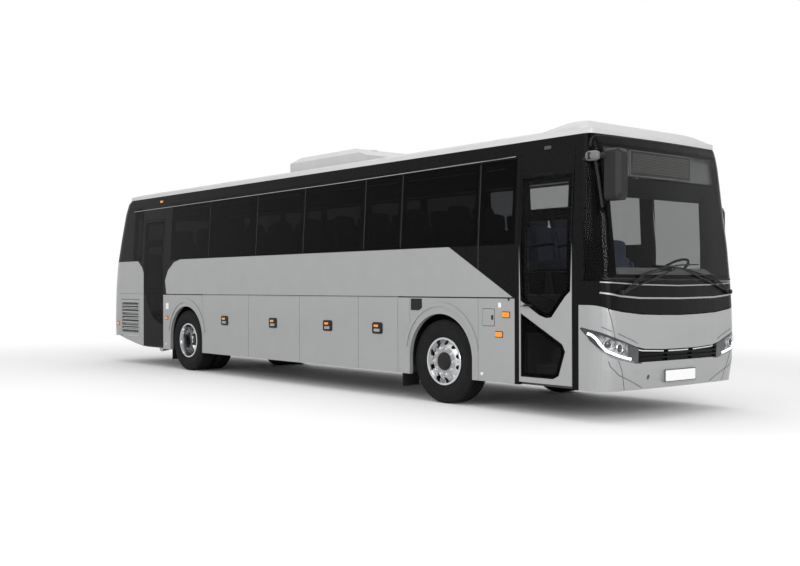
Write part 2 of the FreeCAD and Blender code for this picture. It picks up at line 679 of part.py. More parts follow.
def front_flap_brackets():
    """Ears behind the belt that hold the pins of the front flap."""
    ears = []
    for y in (FRONT_ARM_Y, -FRONT_ARM_Y - FRONT_ARM_THICK):
        for y0 in (y - SEAM - FRONT_BRACKET_THICK, y + FRONT_ARM_THICK + SEAM):
            ear = block(FRONT_PIVOT_X - FRONT_BOSS_R, nose_x(FRONT_PIVOT_Z) - WALL / 2, y0,
                        y0 + FRONT_BRACKET_THICK, FRONT_PIVOT_Z - FRONT_BOSS_R, FRONT_PIVOT_Z + FRONT_BOSS_R)
            ears.append(ear)
        ears.append(Part.makeCylinder(FRONT_PIN_R, FRONT_ARM_THICK + 2 * SEAM + FRONT_BRACKET_THICK,
                                      V(FRONT_PIVOT_X, y - SEAM - FRONT_BRACKET_THICK / 2, FRONT_PIVOT_Z), AXIS_Y))
    core = end_core(True, SKIRT_Z, BELT_TOP_Z, WALL / 2, NOSE_JOIN_X)
    return [ear.common(core) for ear in ears]


GRILLE_RIB = 18.0


def build_grille_strip():
    """Dark intake strip between the headlamps, with two ribs and two dividers."""
    back = end_ring(True, GRILLE_STRIP_Z0, GRILLE_STRIP_Z1, 2 * GRILLE_DEPTH, WALL)
    face = end_ring(True, GRILLE_STRIP_Z0, GRILLE_STRIP_Z1, 0, WALL)
    span = block(NOSE_JOIN_X, FRONT_X + OVERRUN, -GRILLE_STRIP_Y, GRILLE_STRIP_Y, GRILLE_STRIP_Z0, GRILLE_STRIP_Z1)
    row = (FRONT_FLAP_LINE[-1][1] - GRILLE_STRIP_Z0) / GRILLE_ROWS
    bars = []
    for i in range(1, GRILLE_ROWS):
        z = GRILLE_STRIP_Z0 + i * row
        bars.append(block(NOSE_JOIN_X, FRONT_X + OVERRUN, -GRILLE_STRIP_Y, GRILLE_STRIP_Y, z - GRILLE_RIB / 2,
                          z + GRILLE_RIB / 2))
    for y in (-GRILLE_SPLIT_Y, GRILLE_SPLIT_Y):
        bars.append(block(NOSE_JOIN_X, FRONT_X + OVERRUN, y - GRILLE_RIB / 2, y + GRILLE_RIB / 2, GRILLE_STRIP_Z0,
                          GRILLE_STRIP_Z1))
    ribs = [face.common(bar) for bar in bars]
    strip = fused([back.common(span)] + ribs)
    save("front_grille", strip.cut(flap_zone(MOVE_GAP)))


def build_screen():
    """Save the windscreen, wrapped round both corners, and give the black frame behind it."""
    ring = end_ring(True, BELT_TOP_Z, CANT_Z)
    outer = end_ring(True, BELT_TOP_Z, CANT_Z, 0, GLASS)
    ahead = block(SCREEN_EDGE_X, FRONT_X + OVERRUN, -HALF_W, HALF_W, BELT_TOP_Z, CANT_Z)
    opening = block(SCREEN_EDGE_X, FRONT_X + OVERRUN, -SCREEN_HALF_Y, SCREEN_HALF_Y, SCREEN_Z0, SCREEN_Z1)
    glass = outer.common(ahead)
    save("windscreen", glass)
    return ring.cut(glass).cut(opening)


REAR_WINDOW_Y = 930.0
REAR_WINDOW_Z0 = 2050.0
REAR_WINDOW_Z1 = 2860.0
TAIL_LAMP_Y0 = 1010.0
TAIL_LAMP_Y1 = 1160.0
TAIL_LAMP_Z0 = 760.0
TAIL_LAMP_Z1 = 1240.0
TAIL_LAMP_GAP = 8.0
TAIL_LAMPS = 3
TAIL_SKIRT_Z = 515.0


def build_rear():
    """Rear panel, engine lid and lamps."""
    low = end_ring(False, TAIL_SKIRT_Z, SILL_Z)
    behind = -TAIL_JOIN_LOW_X
    hole = block(REAR_X - OVERRUN, behind, -LID_HALF_W - MOVE_GAP, LID_HALF_W + MOVE_GAP, LID_Z0 - MOVE_GAP,
                 LID_Z1 + BEAD_RAIL_RISE)
    lamp_cuts = []
    lens_height = (TAIL_LAMP_Z1 - TAIL_LAMP_Z0) / TAIL_LAMPS
    for i in range(TAIL_LAMPS):
        z0 = TAIL_LAMP_Z0 + i * lens_height + TAIL_LAMP_GAP / 2
        z1 = TAIL_LAMP_Z0 + (i + 1) * lens_height - TAIL_LAMP_GAP / 2
        cut = block(REAR_X - OVERRUN, behind - TAIL_CORNER_R / 2, TAIL_LAMP_Y0, TAIL_LAMP_Y1, z0, z1)
        lamp_cuts.extend([cut, mirrored(cut)])
    panel = low.cut(hole).cut(Part.makeCompound(lamp_cuts))
    save("rear_panel", panel)
    save("tail_lamps", [low.common(cut) for cut in lamp_cuts])
    lid_skin = low.common(block(REAR_X - OVERRUN, behind, -LID_HALF_W, LID_HALF_W, LID_Z0, LID_Z1 - BEAD_FLAP_DROP))
    plate = block(REAR_X, REAR_X + WALL / 2, -PLATE_HALF_Y, PLATE_HALF_Y, LID_PLATE_Z0, LID_PLATE_Z1)
    save("engine_lid", fused([lid_skin, plate, on_tail(bead_strip(2 * LID_HALF_W), LID_HALF_W, LID_Z1)]))


def rear_window_parts():
    """Black surround of the rear window, and its glass."""
    high = end_ring(False, SILL_Z, CANT_Z, join=TAIL_JOIN_HIGH_X)
    layer = end_ring(False, REAR_WINDOW_Z0, REAR_WINDOW_Z1, 0, GLASS, TAIL_JOIN_HIGH_X)
    glass = layer.common(block(REAR_X, -TAIL_JOIN_HIGH_X, -REAR_WINDOW_Y, REAR_WINDOW_Y, REAR_WINDOW_Z0,
                               REAR_WINDOW_Z1))
    day = block(REAR_X, -TAIL_JOIN_HIGH_X, -REAR_WINDOW_Y + WINDOW_BORDER, REAR_WINDOW_Y - WINDOW_BORDER,
                REAR_WINDOW_Z0 + WINDOW_BORDER, REAR_WINDOW_Z1 - WINDOW_BORDER)
    return high.cut(glass).cut(day), glass


def roof_body(depth):
    """Roof volume from the cant line up, drawn in by a depth."""
    top = [(-side_y(CANT_Z) + depth, CANT_Z), (-ROOF_EDGE_Y + depth, ROOF_EDGE_Z - depth / 2),
           (-ROOF_SHOULDER_Y, ROOF_SHOULDER_Z - depth)]
    wire = [Part.makePolygon([V(REAR_X, y, z) for y, z in top])]
    crown = Part.Arc(V(REAR_X, -ROOF_SHOULDER_Y, ROOF_SHOULDER_Z - depth), V(REAR_X, 0, CROWN_Z - depth),
                     V(REAR_X, ROOF_SHOULDER_Y, ROOF_SHOULDER_Z - depth)).toShape()
    wire.append(crown)
    wire.append(Part.makePolygon([V(REAR_X, -y, z) for y, z in reversed(top)] + [V(REAR_X, *top[0])]))
    section = Part.Face(Part.Wire([edge for part in wire for edge in part.Edges]))
    body = section.extrude(AXIS_X * (FRONT_X - REAR_X))
    rear = [(x + depth, z - depth) for x, z in ROOF_REAR]
    front = [(x - depth, z - depth) for x, z in reversed(ROOF_FRONT)]
    outline = rear + [(0, CROWN_Z)] + front + [(front[-1][0], SILL_Z), (rear[0][0], SILL_Z)]
    body = body.common(prism_y(outline, -HALF_W, HALF_W))
    nose = plan_block(True, depth)
    tail = plan_block(False, depth)
    return body.common(nose).common(tail)


def plan_block(front, depth):
    """Plan of the roof at one end, drawn up through the roof."""
    outline = end_points(front, CANT_Z, depth, REAR_X)
    return polygon(outline).extrude(AXIS_Z * (CROWN_Z - CANT_Z + OVERRUN))


def build_roof():
    """Roof shell, air-conditioning pod and hatches."""
    outer = roof_body(0)
    inner = roof_body(WALL)
    shell = outer.cut(inner)
    save("roof", shell)
    hatches = [pod_body().cut(outer)]
    for x in HATCH_X:
        low = rectangle(x, 0, HATCH_X_SIZE, HATCH_Y_SIZE, CROWN_Z - OVERRUN)
        high = rectangle(x, 0, HATCH_X_SIZE - 2 * HATCH_DRAFT, HATCH_Y_SIZE - 2 * HATCH_DRAFT, CROWN_Z + HATCH_RISE)
        hatches.append(Part.makeLoft([low, high], True, True).cut(outer))
    save("roof_units", hatches)


HATCH_X = [-3000.0, 3000.0]
HATCH_X_SIZE = 760.0
HATCH_Y_SIZE = 700.0
HATCH_DRAFT = 40.0
HATCH_RISE = 45.0
POD_X0 = -390.0
POD_X1 = 1450.0
POD_HALF_Y = 900.0
POD_Z0 = 3180.0
POD_BREAK_Z = 3365.0
POD_TOP_Z = 3460.0
POD_FRONT_SLOPE = 420.0
POD_REAR_SLOPE = 90.0
POD_SIDE_SLOPE = 150.0


def rectangle(x, y, length, width, z):
    """Closed rectangle centred on a point."""
    half_x, half_y = length / 2, width / 2
    corners = [V(x - half_x, y - half_y, z), V(x + half_x, y - half_y, z), V(x + half_x, y + half_y, z),
               V(x - half_x, y + half_y, z)]
    return Part.makePolygon(corners + [corners[0]])


def pod_body():
    """Cooling pod on the roof, upright below and drawn in above its break line."""
    side = [(POD_X0, POD_Z0), (POD_X1, POD_Z0), (POD_X1, POD_BREAK_Z - OVERRUN), (POD_X1 - POD_FRONT_SLOPE, POD_TOP_Z),
            (POD_X0 + POD_REAR_SLOPE, POD_TOP_Z), (POD_X0, POD_BREAK_Z)]
    end = [(-POD_HALF_Y, POD_Z0), (POD_HALF_Y, POD_Z0), (POD_HALF_Y, POD_BREAK_Z),
           (POD_HALF_Y - POD_SIDE_SLOPE, POD_TOP_Z), (POD_SIDE_SLOPE - POD_HALF_Y, POD_TOP_Z),
           (-POD_HALF_Y, POD_BREAK_Z)]
    return prism_y(side, -POD_HALF_Y, POD_HALF_Y).common(prism_x(end, POD_X0, POD_X1))


AISLE_Y = 300.0
STAIR_Y = -460.0
INNER_Y = HALF_W - WALL


def build_floors():
    """Passenger deck, driver's platform, hold floor, stairs and bulkheads."""
    z0 = DECK_Z - DECK_THICK
    deck = block(REAR_DOOR_X1 + SEAM, DOOR_PILLAR_X, -INNER_Y, INNER_Y, z0, DECK_Z)
    notch = block(FLAP_SEAMS_X[0] - MOVE_GAP, FLAP_SEAMS_X[-1] + MOVE_GAP, -INNER_Y, -HOLD_EDGE_Y, z0, WAIST_Z)
    deck = deck.cut(notch).cut(mirrored(notch))
    rear = fused([block(-TAIL_JOIN_LOW_X, REAR_DOOR_X0, -INNER_Y, INNER_Y, z0, DECK_Z),
                  block(REAR_DOOR_X0, REAR_DOOR_X1, STAIR_Y, INNER_Y, z0, DECK_Z)])
    hold = block(FLAP_SEAMS_X[0], FRONT_HOUSE_X0, -HOLD_EDGE_Y, HOLD_EDGE_Y, SKIRT_Z, SKIRT_Z + DECK_THICK)
    z0 = PLATFORM_Z - PLATFORM_THICK
    cab = fused([block(DOOR_PILLAR_X, CAB_FLOOR_X1, STAIR_Y, INNER_Y, z0, PLATFORM_Z),
                 block(FRONT_DOOR_X1, CAB_FLOOR_X1, -INNER_Y, STAIR_Y, z0, PLATFORM_Z)])
    cab = cab.common(end_core(True, z0, PLATFORM_Z, WALL, 0))
    save("floors", [deck, rear, cab, hold])
    save("stairs", [stair_flight(FRONT_DOOR_X0, FRONT_DOOR_X1, PLATFORM_Z, FRONT_RISERS),
                    stair_flight(REAR_DOOR_X0, REAR_DOOR_X1, DECK_Z, REAR_RISERS), aisle_step()])
    build_bulkheads()


CAB_FLOOR_X1 = 5640.0
FRONT_RISERS = 3
REAR_RISERS = 4
HOLD_EDGE_Y = INNER_Y - MOVE_GAP
STAIR_SLAB = 60.0


def stair_flight(x0, x1, top, risers):
    """Steps from a doorway up to the edge of a floor, as one stepped slab."""
    treads = risers
    run = (INNER_Y + STAIR_Y) / treads
    rise = (top - STEP_Z) / risers
    low = STEP_Z - STAIR_SLAB / 2
    outline = [(STAIR_Y, low), (-INNER_Y, low)]
    for i in range(treads):
        outline.append((-INNER_Y + i * run, STEP_Z + i * rise))
        outline.append((-INNER_Y + (i + 1) * run, STEP_Z + i * rise))
    return prism_x(outline, x0, x1)


def aisle_step():
    """Step from the driver's platform up to the passenger deck."""
    rise = (DECK_Z - PLATFORM_Z) / 2
    return block(DOOR_PILLAR_X, DOOR_PILLAR_X + AISLE_STEP, -AISLE_Y, AISLE_Y, PLATFORM_Z, PLATFORM_Z + rise)


AISLE_STEP = 280.0


def build_bulkheads():
    """Plates across the coach that carry the deck and divide the holds."""
    top = DECK_Z - DECK_THICK
    floor = SKIRT_Z + DECK_THICK
    plates = [block(FLAP_SEAMS_X[0] - PLATE, FLAP_SEAMS_X[0], -HOLD_EDGE_Y, HOLD_EDGE_Y, SKIRT_Z, top)]
    for x in FLAP_SEAMS_X[1:-1]:
        plates.append(block(x - PLATE / 2, x + PLATE / 2, -HOLD_EDGE_Y, HOLD_EDGE_Y, floor, top))
    plates.append(block(FRONT_HOUSE_X0, FRONT_HOUSE_X0 + PLATE, -INNER_Y, INNER_Y, SKIRT_Z, top))
    plates.append(block(FRONT_HOUSE_X1, FRONT_HOUSE_X1 + PLATE, -INNER_Y, INNER_Y, SKIRT_Z, top))
    plates.append(block(DOOR_PILLAR_X - PLATE, DOOR_PILLAR_X, -INNER_Y, INNER_Y, SKIRT_Z, top))
    house_x0 = REAR_AXLE_X - ARCH_R - PLATE
    plates.append(block(house_x0, house_x0 + PLATE, -INNER_Y, INNER_Y, SKIRT_Z, top))
    save("bulkheads", plates)
    walls = []
    for x0, x1 in ((house_x0 + PLATE, FLAP_SEAMS_X[0] - PLATE), (FRONT_HOUSE_X0 + PLATE, FRONT_HOUSE_X1)):
        wall = block(x0, x1, -WHEELHOUSE_Y, -WHEELHOUSE_Y + PLATE, FRAME_Z1, top)
        walls.extend([wall, mirrored(wall)])
    frames = []
    for x0, x1 in ((-TAIL_JOIN_LOW_X + WALL, house_x0), (house_x0 + PLATE, FLAP_SEAMS_X[0] - PLATE),
                   (FRONT_HOUSE_X0 + PLATE, FRONT_HOUSE_X1), (FRONT_HOUSE_X1 + PLATE, DOOR_PILLAR_X - PLATE),
                   (DOOR_PILLAR_X, FRAME_FRONT_X)):
        rail = block(x0, x1, RAIL_Y0, RAIL_Y1, FRAME_Z0, FRAME_Z1)
        frames.extend([rail, mirrored(rail)])
    save("frame_rails", frames + walls)
    save("engine", block(*ENGINE_BOX).cut(Part.makeCompound(frames)))


FRAME_FRONT_X = 5600.0


def revolve_about_y(points, x, z, sides=WHEEL_SIDES):
    """Wheel-like solid from a closed profile of (y, radius) points, with a flat side down."""
    grow = 1 / cos(pi / sides)
    loops = []
    for i in range(sides):
        angle = 2 * pi * (i + 1 / 2) / sides
        reach = [radius * grow for _, radius in points]
        loops.append([V(x + r * sin(angle), y, z - r * cos(angle)) for (y, _), r in zip(points, reach)])
    return skinned(loops + [loops[0]], False)


TYRE_SHARES = [(0.38, 0.0), (0.48, 0.2), (0.5, 0.5), (0.46, 0.82), (0.4, 0.95), (0.32, 1.0)]


def tyre(x, y):
    """Tyre with rounded shoulders, centred on a wheel plane."""
    bore = BEAD_R / cos(pi / WHEEL_SIDES) + RUN_GAP
    wall = TYRE_R - bore
    half = [(a * TYRE_W, bore + b * wall) for a, b in TYRE_SHARES]
    points = [(y + a, r) for a, r in half] + [(y - a, r) for a, r in reversed(half)]
    return revolve_about_y(points, x, TYRE_R, TYRE_SIDES)


RIM_THICK = 12.0
RIM_LIP = 14.0
DISC_THICK = 14.0
HUB_R = 118.0
HUB_BORE_R = STUB_R + RUN_GAP
HAND_HOLES = 10
HAND_HOLE_R = 31.0
FRONT_DISC_OUT = 62.0
HUB_NOSE = 118.0
FRONT_STUB_END_Y = 1145.0


def barrel(y):
    """Rim well with its two lips, as (y, radius) of a ring."""
    outer = BEAD_R
    inner = BEAD_R - RIM_THICK
    lip = BEAD_R + RIM_LIP
    return [(y - RIM_HALF_W - RIM_THICK, inner), (y - RIM_HALF_W - RIM_THICK, lip), (y - RIM_HALF_W, lip),
            (y - RIM_HALF_W, outer), (y + RIM_HALF_W, outer), (y + RIM_HALF_W, lip),
            (y + RIM_HALF_W + RIM_THICK, lip), (y + RIM_HALF_W + RIM_THICK, inner)]


def hand_holes(x, y0, y1, radius):
    """Ring of round holes through a wheel disc."""
    holes = []
    for i in range(HAND_HOLES):
        angle = 2 * pi * (i + 1 / 2) / HAND_HOLES
        at_x, at_z = x + radius * cos(angle), TYRE_R + radius * sin(angle)
        outline = []
        for j in range(HOLE_SIDES):
            turn = angle + 2 * pi * j / HOLE_SIDES
            outline.append((at_x + HAND_HOLE_R * cos(turn), at_z + HAND_HOLE_R * sin(turn)))
        holes.append(prism_y(outline, y0, y1))
    return Part.makeCompound(holes)


def front_wheel(x, y):
    """Left front wheel: rim, dished disc with hand holes, and hub on its bore."""
    rim = revolve_about_y(barrel(y), x, TYRE_R)
    face = y + FRONT_DISC_OUT
    reach = BEAD_R - RIM_THICK
    shelf = reach * (2 / 3)
    disc = [(face - DISC_THICK, reach), (face, reach), (face + DISC_THICK * 2, shelf), (face + DISC_THICK * 2, HUB_R),
            (face + DISC_THICK, HUB_R), (face + DISC_THICK, shelf)]
    disc = revolve_about_y(disc, x, TYRE_R)
    disc = disc.cut(hand_holes(x, face - OVERRUN, face + OVERRUN, reach * (5 / 6)))
    back = KINGPIN_Y + EYE_R + 3 * EAR_THICK
    hub = [(back, HUB_BORE_R), (back, HUB_R), (face + HUB_NOSE / 3, HUB_R), (face + HUB_NOSE / 2, HUB_R * 3 / 4),
           (face + HUB_NOSE / 2, 0), (FRONT_STUB_END_Y + RUN_GAP, 0), (FRONT_STUB_END_Y + RUN_GAP, HUB_BORE_R)]
    hub = revolve_about_y(hub, x, TYRE_R)
    return fused([rim, disc, hub])


def rear_wheel(x):
    """Left twin wheel: two rims bolted back to back on one hub."""
    inner_y = TWIN_OUTER_Y - TWIN_SPACING
    middle = (TWIN_OUTER_Y + inner_y) / 2
    rims = [revolve_about_y(barrel(y), x, TYRE_R) for y in (inner_y, TWIN_OUTER_Y)]
    reach = BEAD_R - RIM_THICK
    discs = [(middle - DISC_THICK * 3, reach), (middle + DISC_THICK * 3, reach), (middle + DISC_THICK, reach * 3 / 4),
             (middle + DISC_THICK, HUB_R), (middle - DISC_THICK, HUB_R), (middle - DISC_THICK, reach * 3 / 4)]
    discs = revolve_about_y(discs, x, TYRE_R)
    discs = discs.cut(hand_holes(x, middle - WALL, middle + WALL, reach * 5 / 6))
    join = revolve_about_y([(inner_y, reach), (inner_y, BEAD_R), (TWIN_OUTER_Y, BEAD_R), (TWIN_OUTER_Y, reach)],
                           x, TYRE_R)
    end = TWIN_OUTER_Y + RIM_HALF_W * (2 / 3)
    hub = [(middle - HUB_R, HUB_BORE_R), (middle - HUB_R, HUB_R), (end - DISC_THICK, HUB_R), (end, HUB_R * 3 / 4),
           (end, 0), (REAR_STUB_END_Y + RUN_GAP, 0), (REAR_STUB_END_Y + RUN_GAP, HUB_BORE_R)]
    hub = revolve_about_y(hub, x, TYRE_R)
    return fused(rims + [discs, join, hub])


REAR_STUB_END_Y = 1120.0
AXLE_TUBE_R = 80.0
DIFF_R = 200.0
DIFF_HALF = 190.0
BEAM_Z0 = 470.0
BEAM_Z1 = 574.0
BEAM_HALF = 48.0


def build_running_gear():
    """Tyres, rims, knuckles, axles and tie rod."""
    front_tyre = tyre(FRONT_AXLE_X, FRONT_TRACK_Y)
    front_rim = front_wheel(FRONT_AXLE_X, FRONT_TRACK_Y)
    rear_tyres = [tyre(REAR_AXLE_X, TWIN_OUTER_Y), tyre(REAR_AXLE_X, TWIN_OUTER_Y - TWIN_SPACING)]
    rear_rim = rear_wheel(REAR_AXLE_X)
    for side, place in (("left", lambda s: s), ("right", mirrored)):
        save("tyre_front_" + side, place(front_tyre))
        save("rim_front_" + side, place(front_rim))
        save("tyres_rear_" + side, [place(t) for t in rear_tyres])
        save("rim_rear_" + side, place(rear_rim))
        save("knuckle_" + side, place(knuckle()))
    save("front_axle", front_axle())
    save("rear_axle", rear_axle())
    save("tie_rod", tie_rod())


def knuckle():
    """Left steering knuckle: two ears on the kingpin, stub axle and track-rod arm."""
    x = FRONT_AXLE_X
    gap = MOVE_GAP
    wide = EYE_R * 2
    top = TYRE_R + EYE_HALF + gap
    low = TYRE_R - EYE_HALF - gap
    plate_y = KINGPIN_Y + EYE_R + gap
    pieces = []
    for z0 in (top, low - EAR_THICK):
        ear = Part.makeCylinder(EYE_R, EAR_THICK, V(x, KINGPIN_Y, z0))
        pieces.append(ear.fuse(block(x - EYE_R, x + EYE_R, KINGPIN_Y, plate_y + EAR_THICK, z0, z0 + EAR_THICK)))
    pieces.append(block(x - EYE_R, x + EYE_R, plate_y, plate_y + EAR_THICK, low - EAR_THICK, top + EAR_THICK))
    pieces.append(rod(V(x, plate_y, TYRE_R), V(x, FRONT_STUB_END_Y, TYRE_R), STUB_R))
    arm_z = low - EAR_THICK
    pieces.append(block(x - STEER_ARM - EAR_THICK, x, KINGPIN_Y - EAR_THICK, KINGPIN_Y + EAR_THICK, arm_z,
                        arm_z + EAR_THICK))
    body = fused(pieces)
    pin_hole = Part.makeCylinder(KINGPIN_R + RUN_GAP, 2 * wide + EYE_HALF * 2, V(x, KINGPIN_Y, arm_z - wide))
    body = body.cut(pin_hole)
    pin_z = arm_z - 2 * TIE_EYE_HALF - gap
    tie_pin = Part.makeCylinder(TIE_PIN_R, arm_z + EAR_THICK - pin_z, V(x - STEER_ARM, KINGPIN_Y, pin_z))
    return fused([body, tie_pin])


def front_axle():
    """Dropped beam with an upright eye and a fixed kingpin at each end."""
    x = FRONT_AXLE_X
    beam = block(x - BEAM_HALF, x + BEAM_HALF, -KINGPIN_Y, KINGPIN_Y, BEAM_Z0, BEAM_Z1)
    pieces = [beam]
    low = TYRE_R - EYE_HALF - MOVE_GAP - EAR_THICK
    high = TYRE_R + EYE_HALF + MOVE_GAP + EAR_THICK
    for y in (-KINGPIN_Y, KINGPIN_Y):
        pieces.append(Part.makeCylinder(EYE_R, 2 * EYE_HALF, V(x, y, TYRE_R - EYE_HALF)))
        pieces.append(Part.makeCylinder(KINGPIN_R, high - low, V(x, y, low)))
    return fused(pieces + air_springs(x, BEAM_Z1 - SPRING_R / 2))


def rear_axle():
    """Drive axle with a round differential case and a spindle at each end."""
    x = REAR_AXLE_X
    tube_end = TWIN_OUTER_Y - TWIN_SPACING / 2 - HUB_R - MOVE_GAP
    half = [(0, 0), (DIFF_R, 0), (DIFF_R, DIFF_HALF / 3), (AXLE_TUBE_R, DIFF_HALF), (AXLE_TUBE_R, tube_end),
            (STUB_R, tube_end), (STUB_R, REAR_STUB_END_Y), (0, REAR_STUB_END_Y)]
    left = polygon([(x + r, y, TYRE_R) for r, y in half]).revolve(V(x, 0, TYRE_R), AXIS_Y)
    return fused([left, mirrored(left)] + air_springs(x, TYRE_R))


def tie_rod():
    """Rod across the coach that joins the two steering arms behind the axle."""
    x = FRONT_AXLE_X - STEER_ARM
    z = TYRE_R - EYE_HALF - MOVE_GAP - EAR_THICK - MOVE_GAP - TIE_EYE_HALF
    end_y = KINGPIN_Y - TIE_PIN_R
    bar = rod(V(x, -end_y, z), V(x, end_y, z), TIE_ROD_R)
    eyes = []
    holes = []
    for y in (-KINGPIN_Y, KINGPIN_Y):
        eyes.append(Part.makeCylinder(TIE_EYE_R, 2 * TIE_EYE_HALF, V(x, y, z - TIE_EYE_HALF)))
        holes.append(Part.makeCylinder(TIE_PIN_R + RUN_GAP, 4 * TIE_EYE_HALF, V(x, y, z - 2 * TIE_EYE_HALF)))
    return fused([bar] + eyes).cut(Part.makeCompound(holes))


SPRING_R = 70.0


def air_springs(x, z):
    """Bellows from an axle up to both frame rails."""
    middle = (RAIL_Y0 + RAIL_Y1) / 2
    return [Part.makeCylinder(SPRING_R, FRAME_Z0 - z, V(x, y, z)) for y in (-middle, middle)]


# Front door outlines on the skin, as lengths and heights from the photo's proportions
FRONT_LOWER_PANE = [(4620.0, 430.0), (5080.0, 430.0), (5160.0, 470.0), (5250.0, 740.0), (5210.0, 820.0),
                    (4620.0, 1150.0)]
FRONT_UPPER_PANE = [(4620.0, 1290.0), (4890.0, 1130.0), (4990.0, 1100.0), (5060.0, 1110.0), (5250.0, 1340.0),
                    (5320.0, 1400.0), (5320.0, 2680.0), (4620.0, 2680.0)]
REAR_LOWER_PANE = [(-4470.0, 1310.0), (-4390.0, 1120.0), (-4230.0, 920.0), (-4040.0, 820.0), (-3840.0, 770.0),
                   (-3840.0, 2650.0), (-4540.0, 2650.0), (-4540.0, 1310.0)]
DOOR_BORDER = 55.0
LEAF_BRACKET = 70.0
ARM_HEIGHTS = [1000.0, 2250.0]


def door_layer(x0, x1, z1, outer, inner):
    """Layer of a door leaf with its running gap all round."""
    return side_strip(x0 + MOVE_GAP, x1 - MOVE_GAP - SWING_GAP, STEP_Z, z1 - MOVE_GAP, outer, inner)


def shrunk(points, border):
    """Outline drawn in towards its middle by a border."""
    face = polygon([(x, 0, z) for x, z in points])
    wire = face.OuterWire.makeOffset2D(-border)
    return [(v.X, v.Z) for v in wire.OrderedVertexes]


def door(name, x0, x1, z1, panes):
    """Leaf, grey skin, glass and arm of one swing-out door."""
    skin = door_layer(x0, x1, z1, 0, GLASS)
    frame = door_layer(x0, x1, z1, GLASS, WALL)
    shapes = [prism_y(p, -HALF_W - OVERRUN, 0) for p in panes]
    half_bar = DOOR_BOSS_HALF + SEAM + LEAF_BRACKET / 2
    bars = [block(x0, x1, -HALF_W - OVERRUN, 0, z - half_bar, z + half_bar) for z in ARM_HEIGHTS]
    for p in panes:
        frame = frame.cut(prism_y(shrunk(p, DOOR_BORDER), -HALF_W - OVERRUN, 0).cut(Part.makeCompound(bars)))
    glass = [skin.common(s) for s in shapes]
    panel = skin
    for s in shapes:
        panel = panel.cut(s)
    column = V(x1 - DOOR_COLUMN_IN_X, -HALF_W + DOOR_COLUMN_IN_Y, 0)
    pin = V(column.x - DOOR_ARM_REACH, column.y, 0)
    brackets = []
    for z in ARM_HEIGHTS:
        y = -side_y(z) + WALL
        for z0 in (z - DOOR_BOSS_HALF - LEAF_BRACKET / 2 - SEAM, z + DOOR_BOSS_HALF + SEAM):
            lug = block(pin.x - DOOR_BOSS_R, pin.x + DOOR_BOSS_R, y - GLASS, pin.y, z0, z0 + LEAF_BRACKET / 2)
            brackets.append(lug.fuse(Part.makeCylinder(DOOR_BOSS_R, LEAF_BRACKET / 2, V(pin.x, pin.y, z0))))
        brackets.append(Part.makeCylinder(DOOR_PIN_R, 2 * DOOR_BOSS_HALF + 2 * SEAM + LEAF_BRACKET,
                                          V(pin.x, pin.y, z - DOOR_BOSS_HALF - SEAM - LEAF_BRACKET / 2)))
    save(name + "_leaf", fused([frame] + brackets))
    save(name + "_skin", panel)
    save(name + "_glass", glass)
    save(name + "_arm", door_arm(column, pin, z1))


def door_arm(column, pin, z1):
    """Turning column with two cranked arms."""
    foot = STEP_Z + MOVE_GAP
    angle = radians(DOOR_ELBOW_ANGLE)
    pieces = [Part.makeCylinder(DOOR_COLUMN_R, z1 - MOVE_GAP - foot, V(column.x, column.y, foot))]
    for z in ARM_HEIGHTS:
        root = V(column.x, column.y, z)
        elbow = root + V(cos(angle), sin(angle), 0) * DOOR_ELBOW_REACH
        tip = V(pin.x, pin.y, z)
        pieces.append(rod(root, elbow, DOOR_ARM_R))
        pieces.append(rod(elbow, tip, DOOR_ARM_R))
        pieces.append(Part.makeSphere(DOOR_ARM_R, elbow))
        pieces.append(Part.makeCylinder(DOOR_BOSS_R, 2 * DOOR_BOSS_HALF, V(pin.x, pin.y, z - DOOR_BOSS_HALF)))
    body = fused(pieces)
    bores = [Part.makeCylinder(DOOR_PIN_R + RUN_GAP, 2 * DOOR_BOSS_HALF, V(pin.x, pin.y, z - DOOR_BOSS_HALF))
             for z in ARM_HEIGHTS]
    return body.cut(Part.makeCompound(bores))


SEAT_PITCH = 770.0
SEAT_ROWS = 12
SEAT_FIRST_X = 3950.0
SEAT_W = 870.0
SEAT_Y0 = 310.0
SEAT_D = 430.0
SEAT_H = 450.0
SEAT_BACK_H = 1120.0
SEAT_PAD = 110.0
DRIVER_SEAT_X = 4900.0
DRIVER_SEAT_Y = 620.0
WHEEL_R = 225.0
WHEEL_TUBE_R = 15.0
HOOP_TUBE_SIDES = 6
WHEEL_AT = (5300.0, 620.0, 1640.0)
COLUMN_LEAN = 35.0


def seat_outline(x, z):
    """Side view of a seat: cushion, leaning back and pedestal."""
    d, h = SEAT_D, SEAT_H
    return [(x, z), (x, z + h - SEAT_PAD), (x + SEAT_PAD, z + h - SEAT_PAD), (x + SEAT_PAD, z + h), (x - d, z + h),
            (x - d - SEAT_PAD, z + SEAT_BACK_H), (x - d - 2 * SEAT_PAD, z + SEAT_BACK_H),
            (x - d - SEAT_PAD, z + h - SEAT_PAD), (x - d / 2, z + h - SEAT_PAD), (x - d / 2, z)]


def hoop():
    """Steering wheel rim, lying flat about the origin."""
    loops = []
    for i in range(WHEEL_SIDES):
        angle = 2 * pi * i / WHEEL_SIDES
        loop = []
        for j in range(HOOP_TUBE_SIDES):
            turn = 2 * pi * j / HOOP_TUBE_SIDES
            reach = WHEEL_R + WHEEL_TUBE_R * cos(turn)
            loop.append(V(reach * cos(angle), reach * sin(angle), WHEEL_TUBE_R * sin(turn)))
        loops.append(loop)
    return skinned(loops + [loops[0]], False)


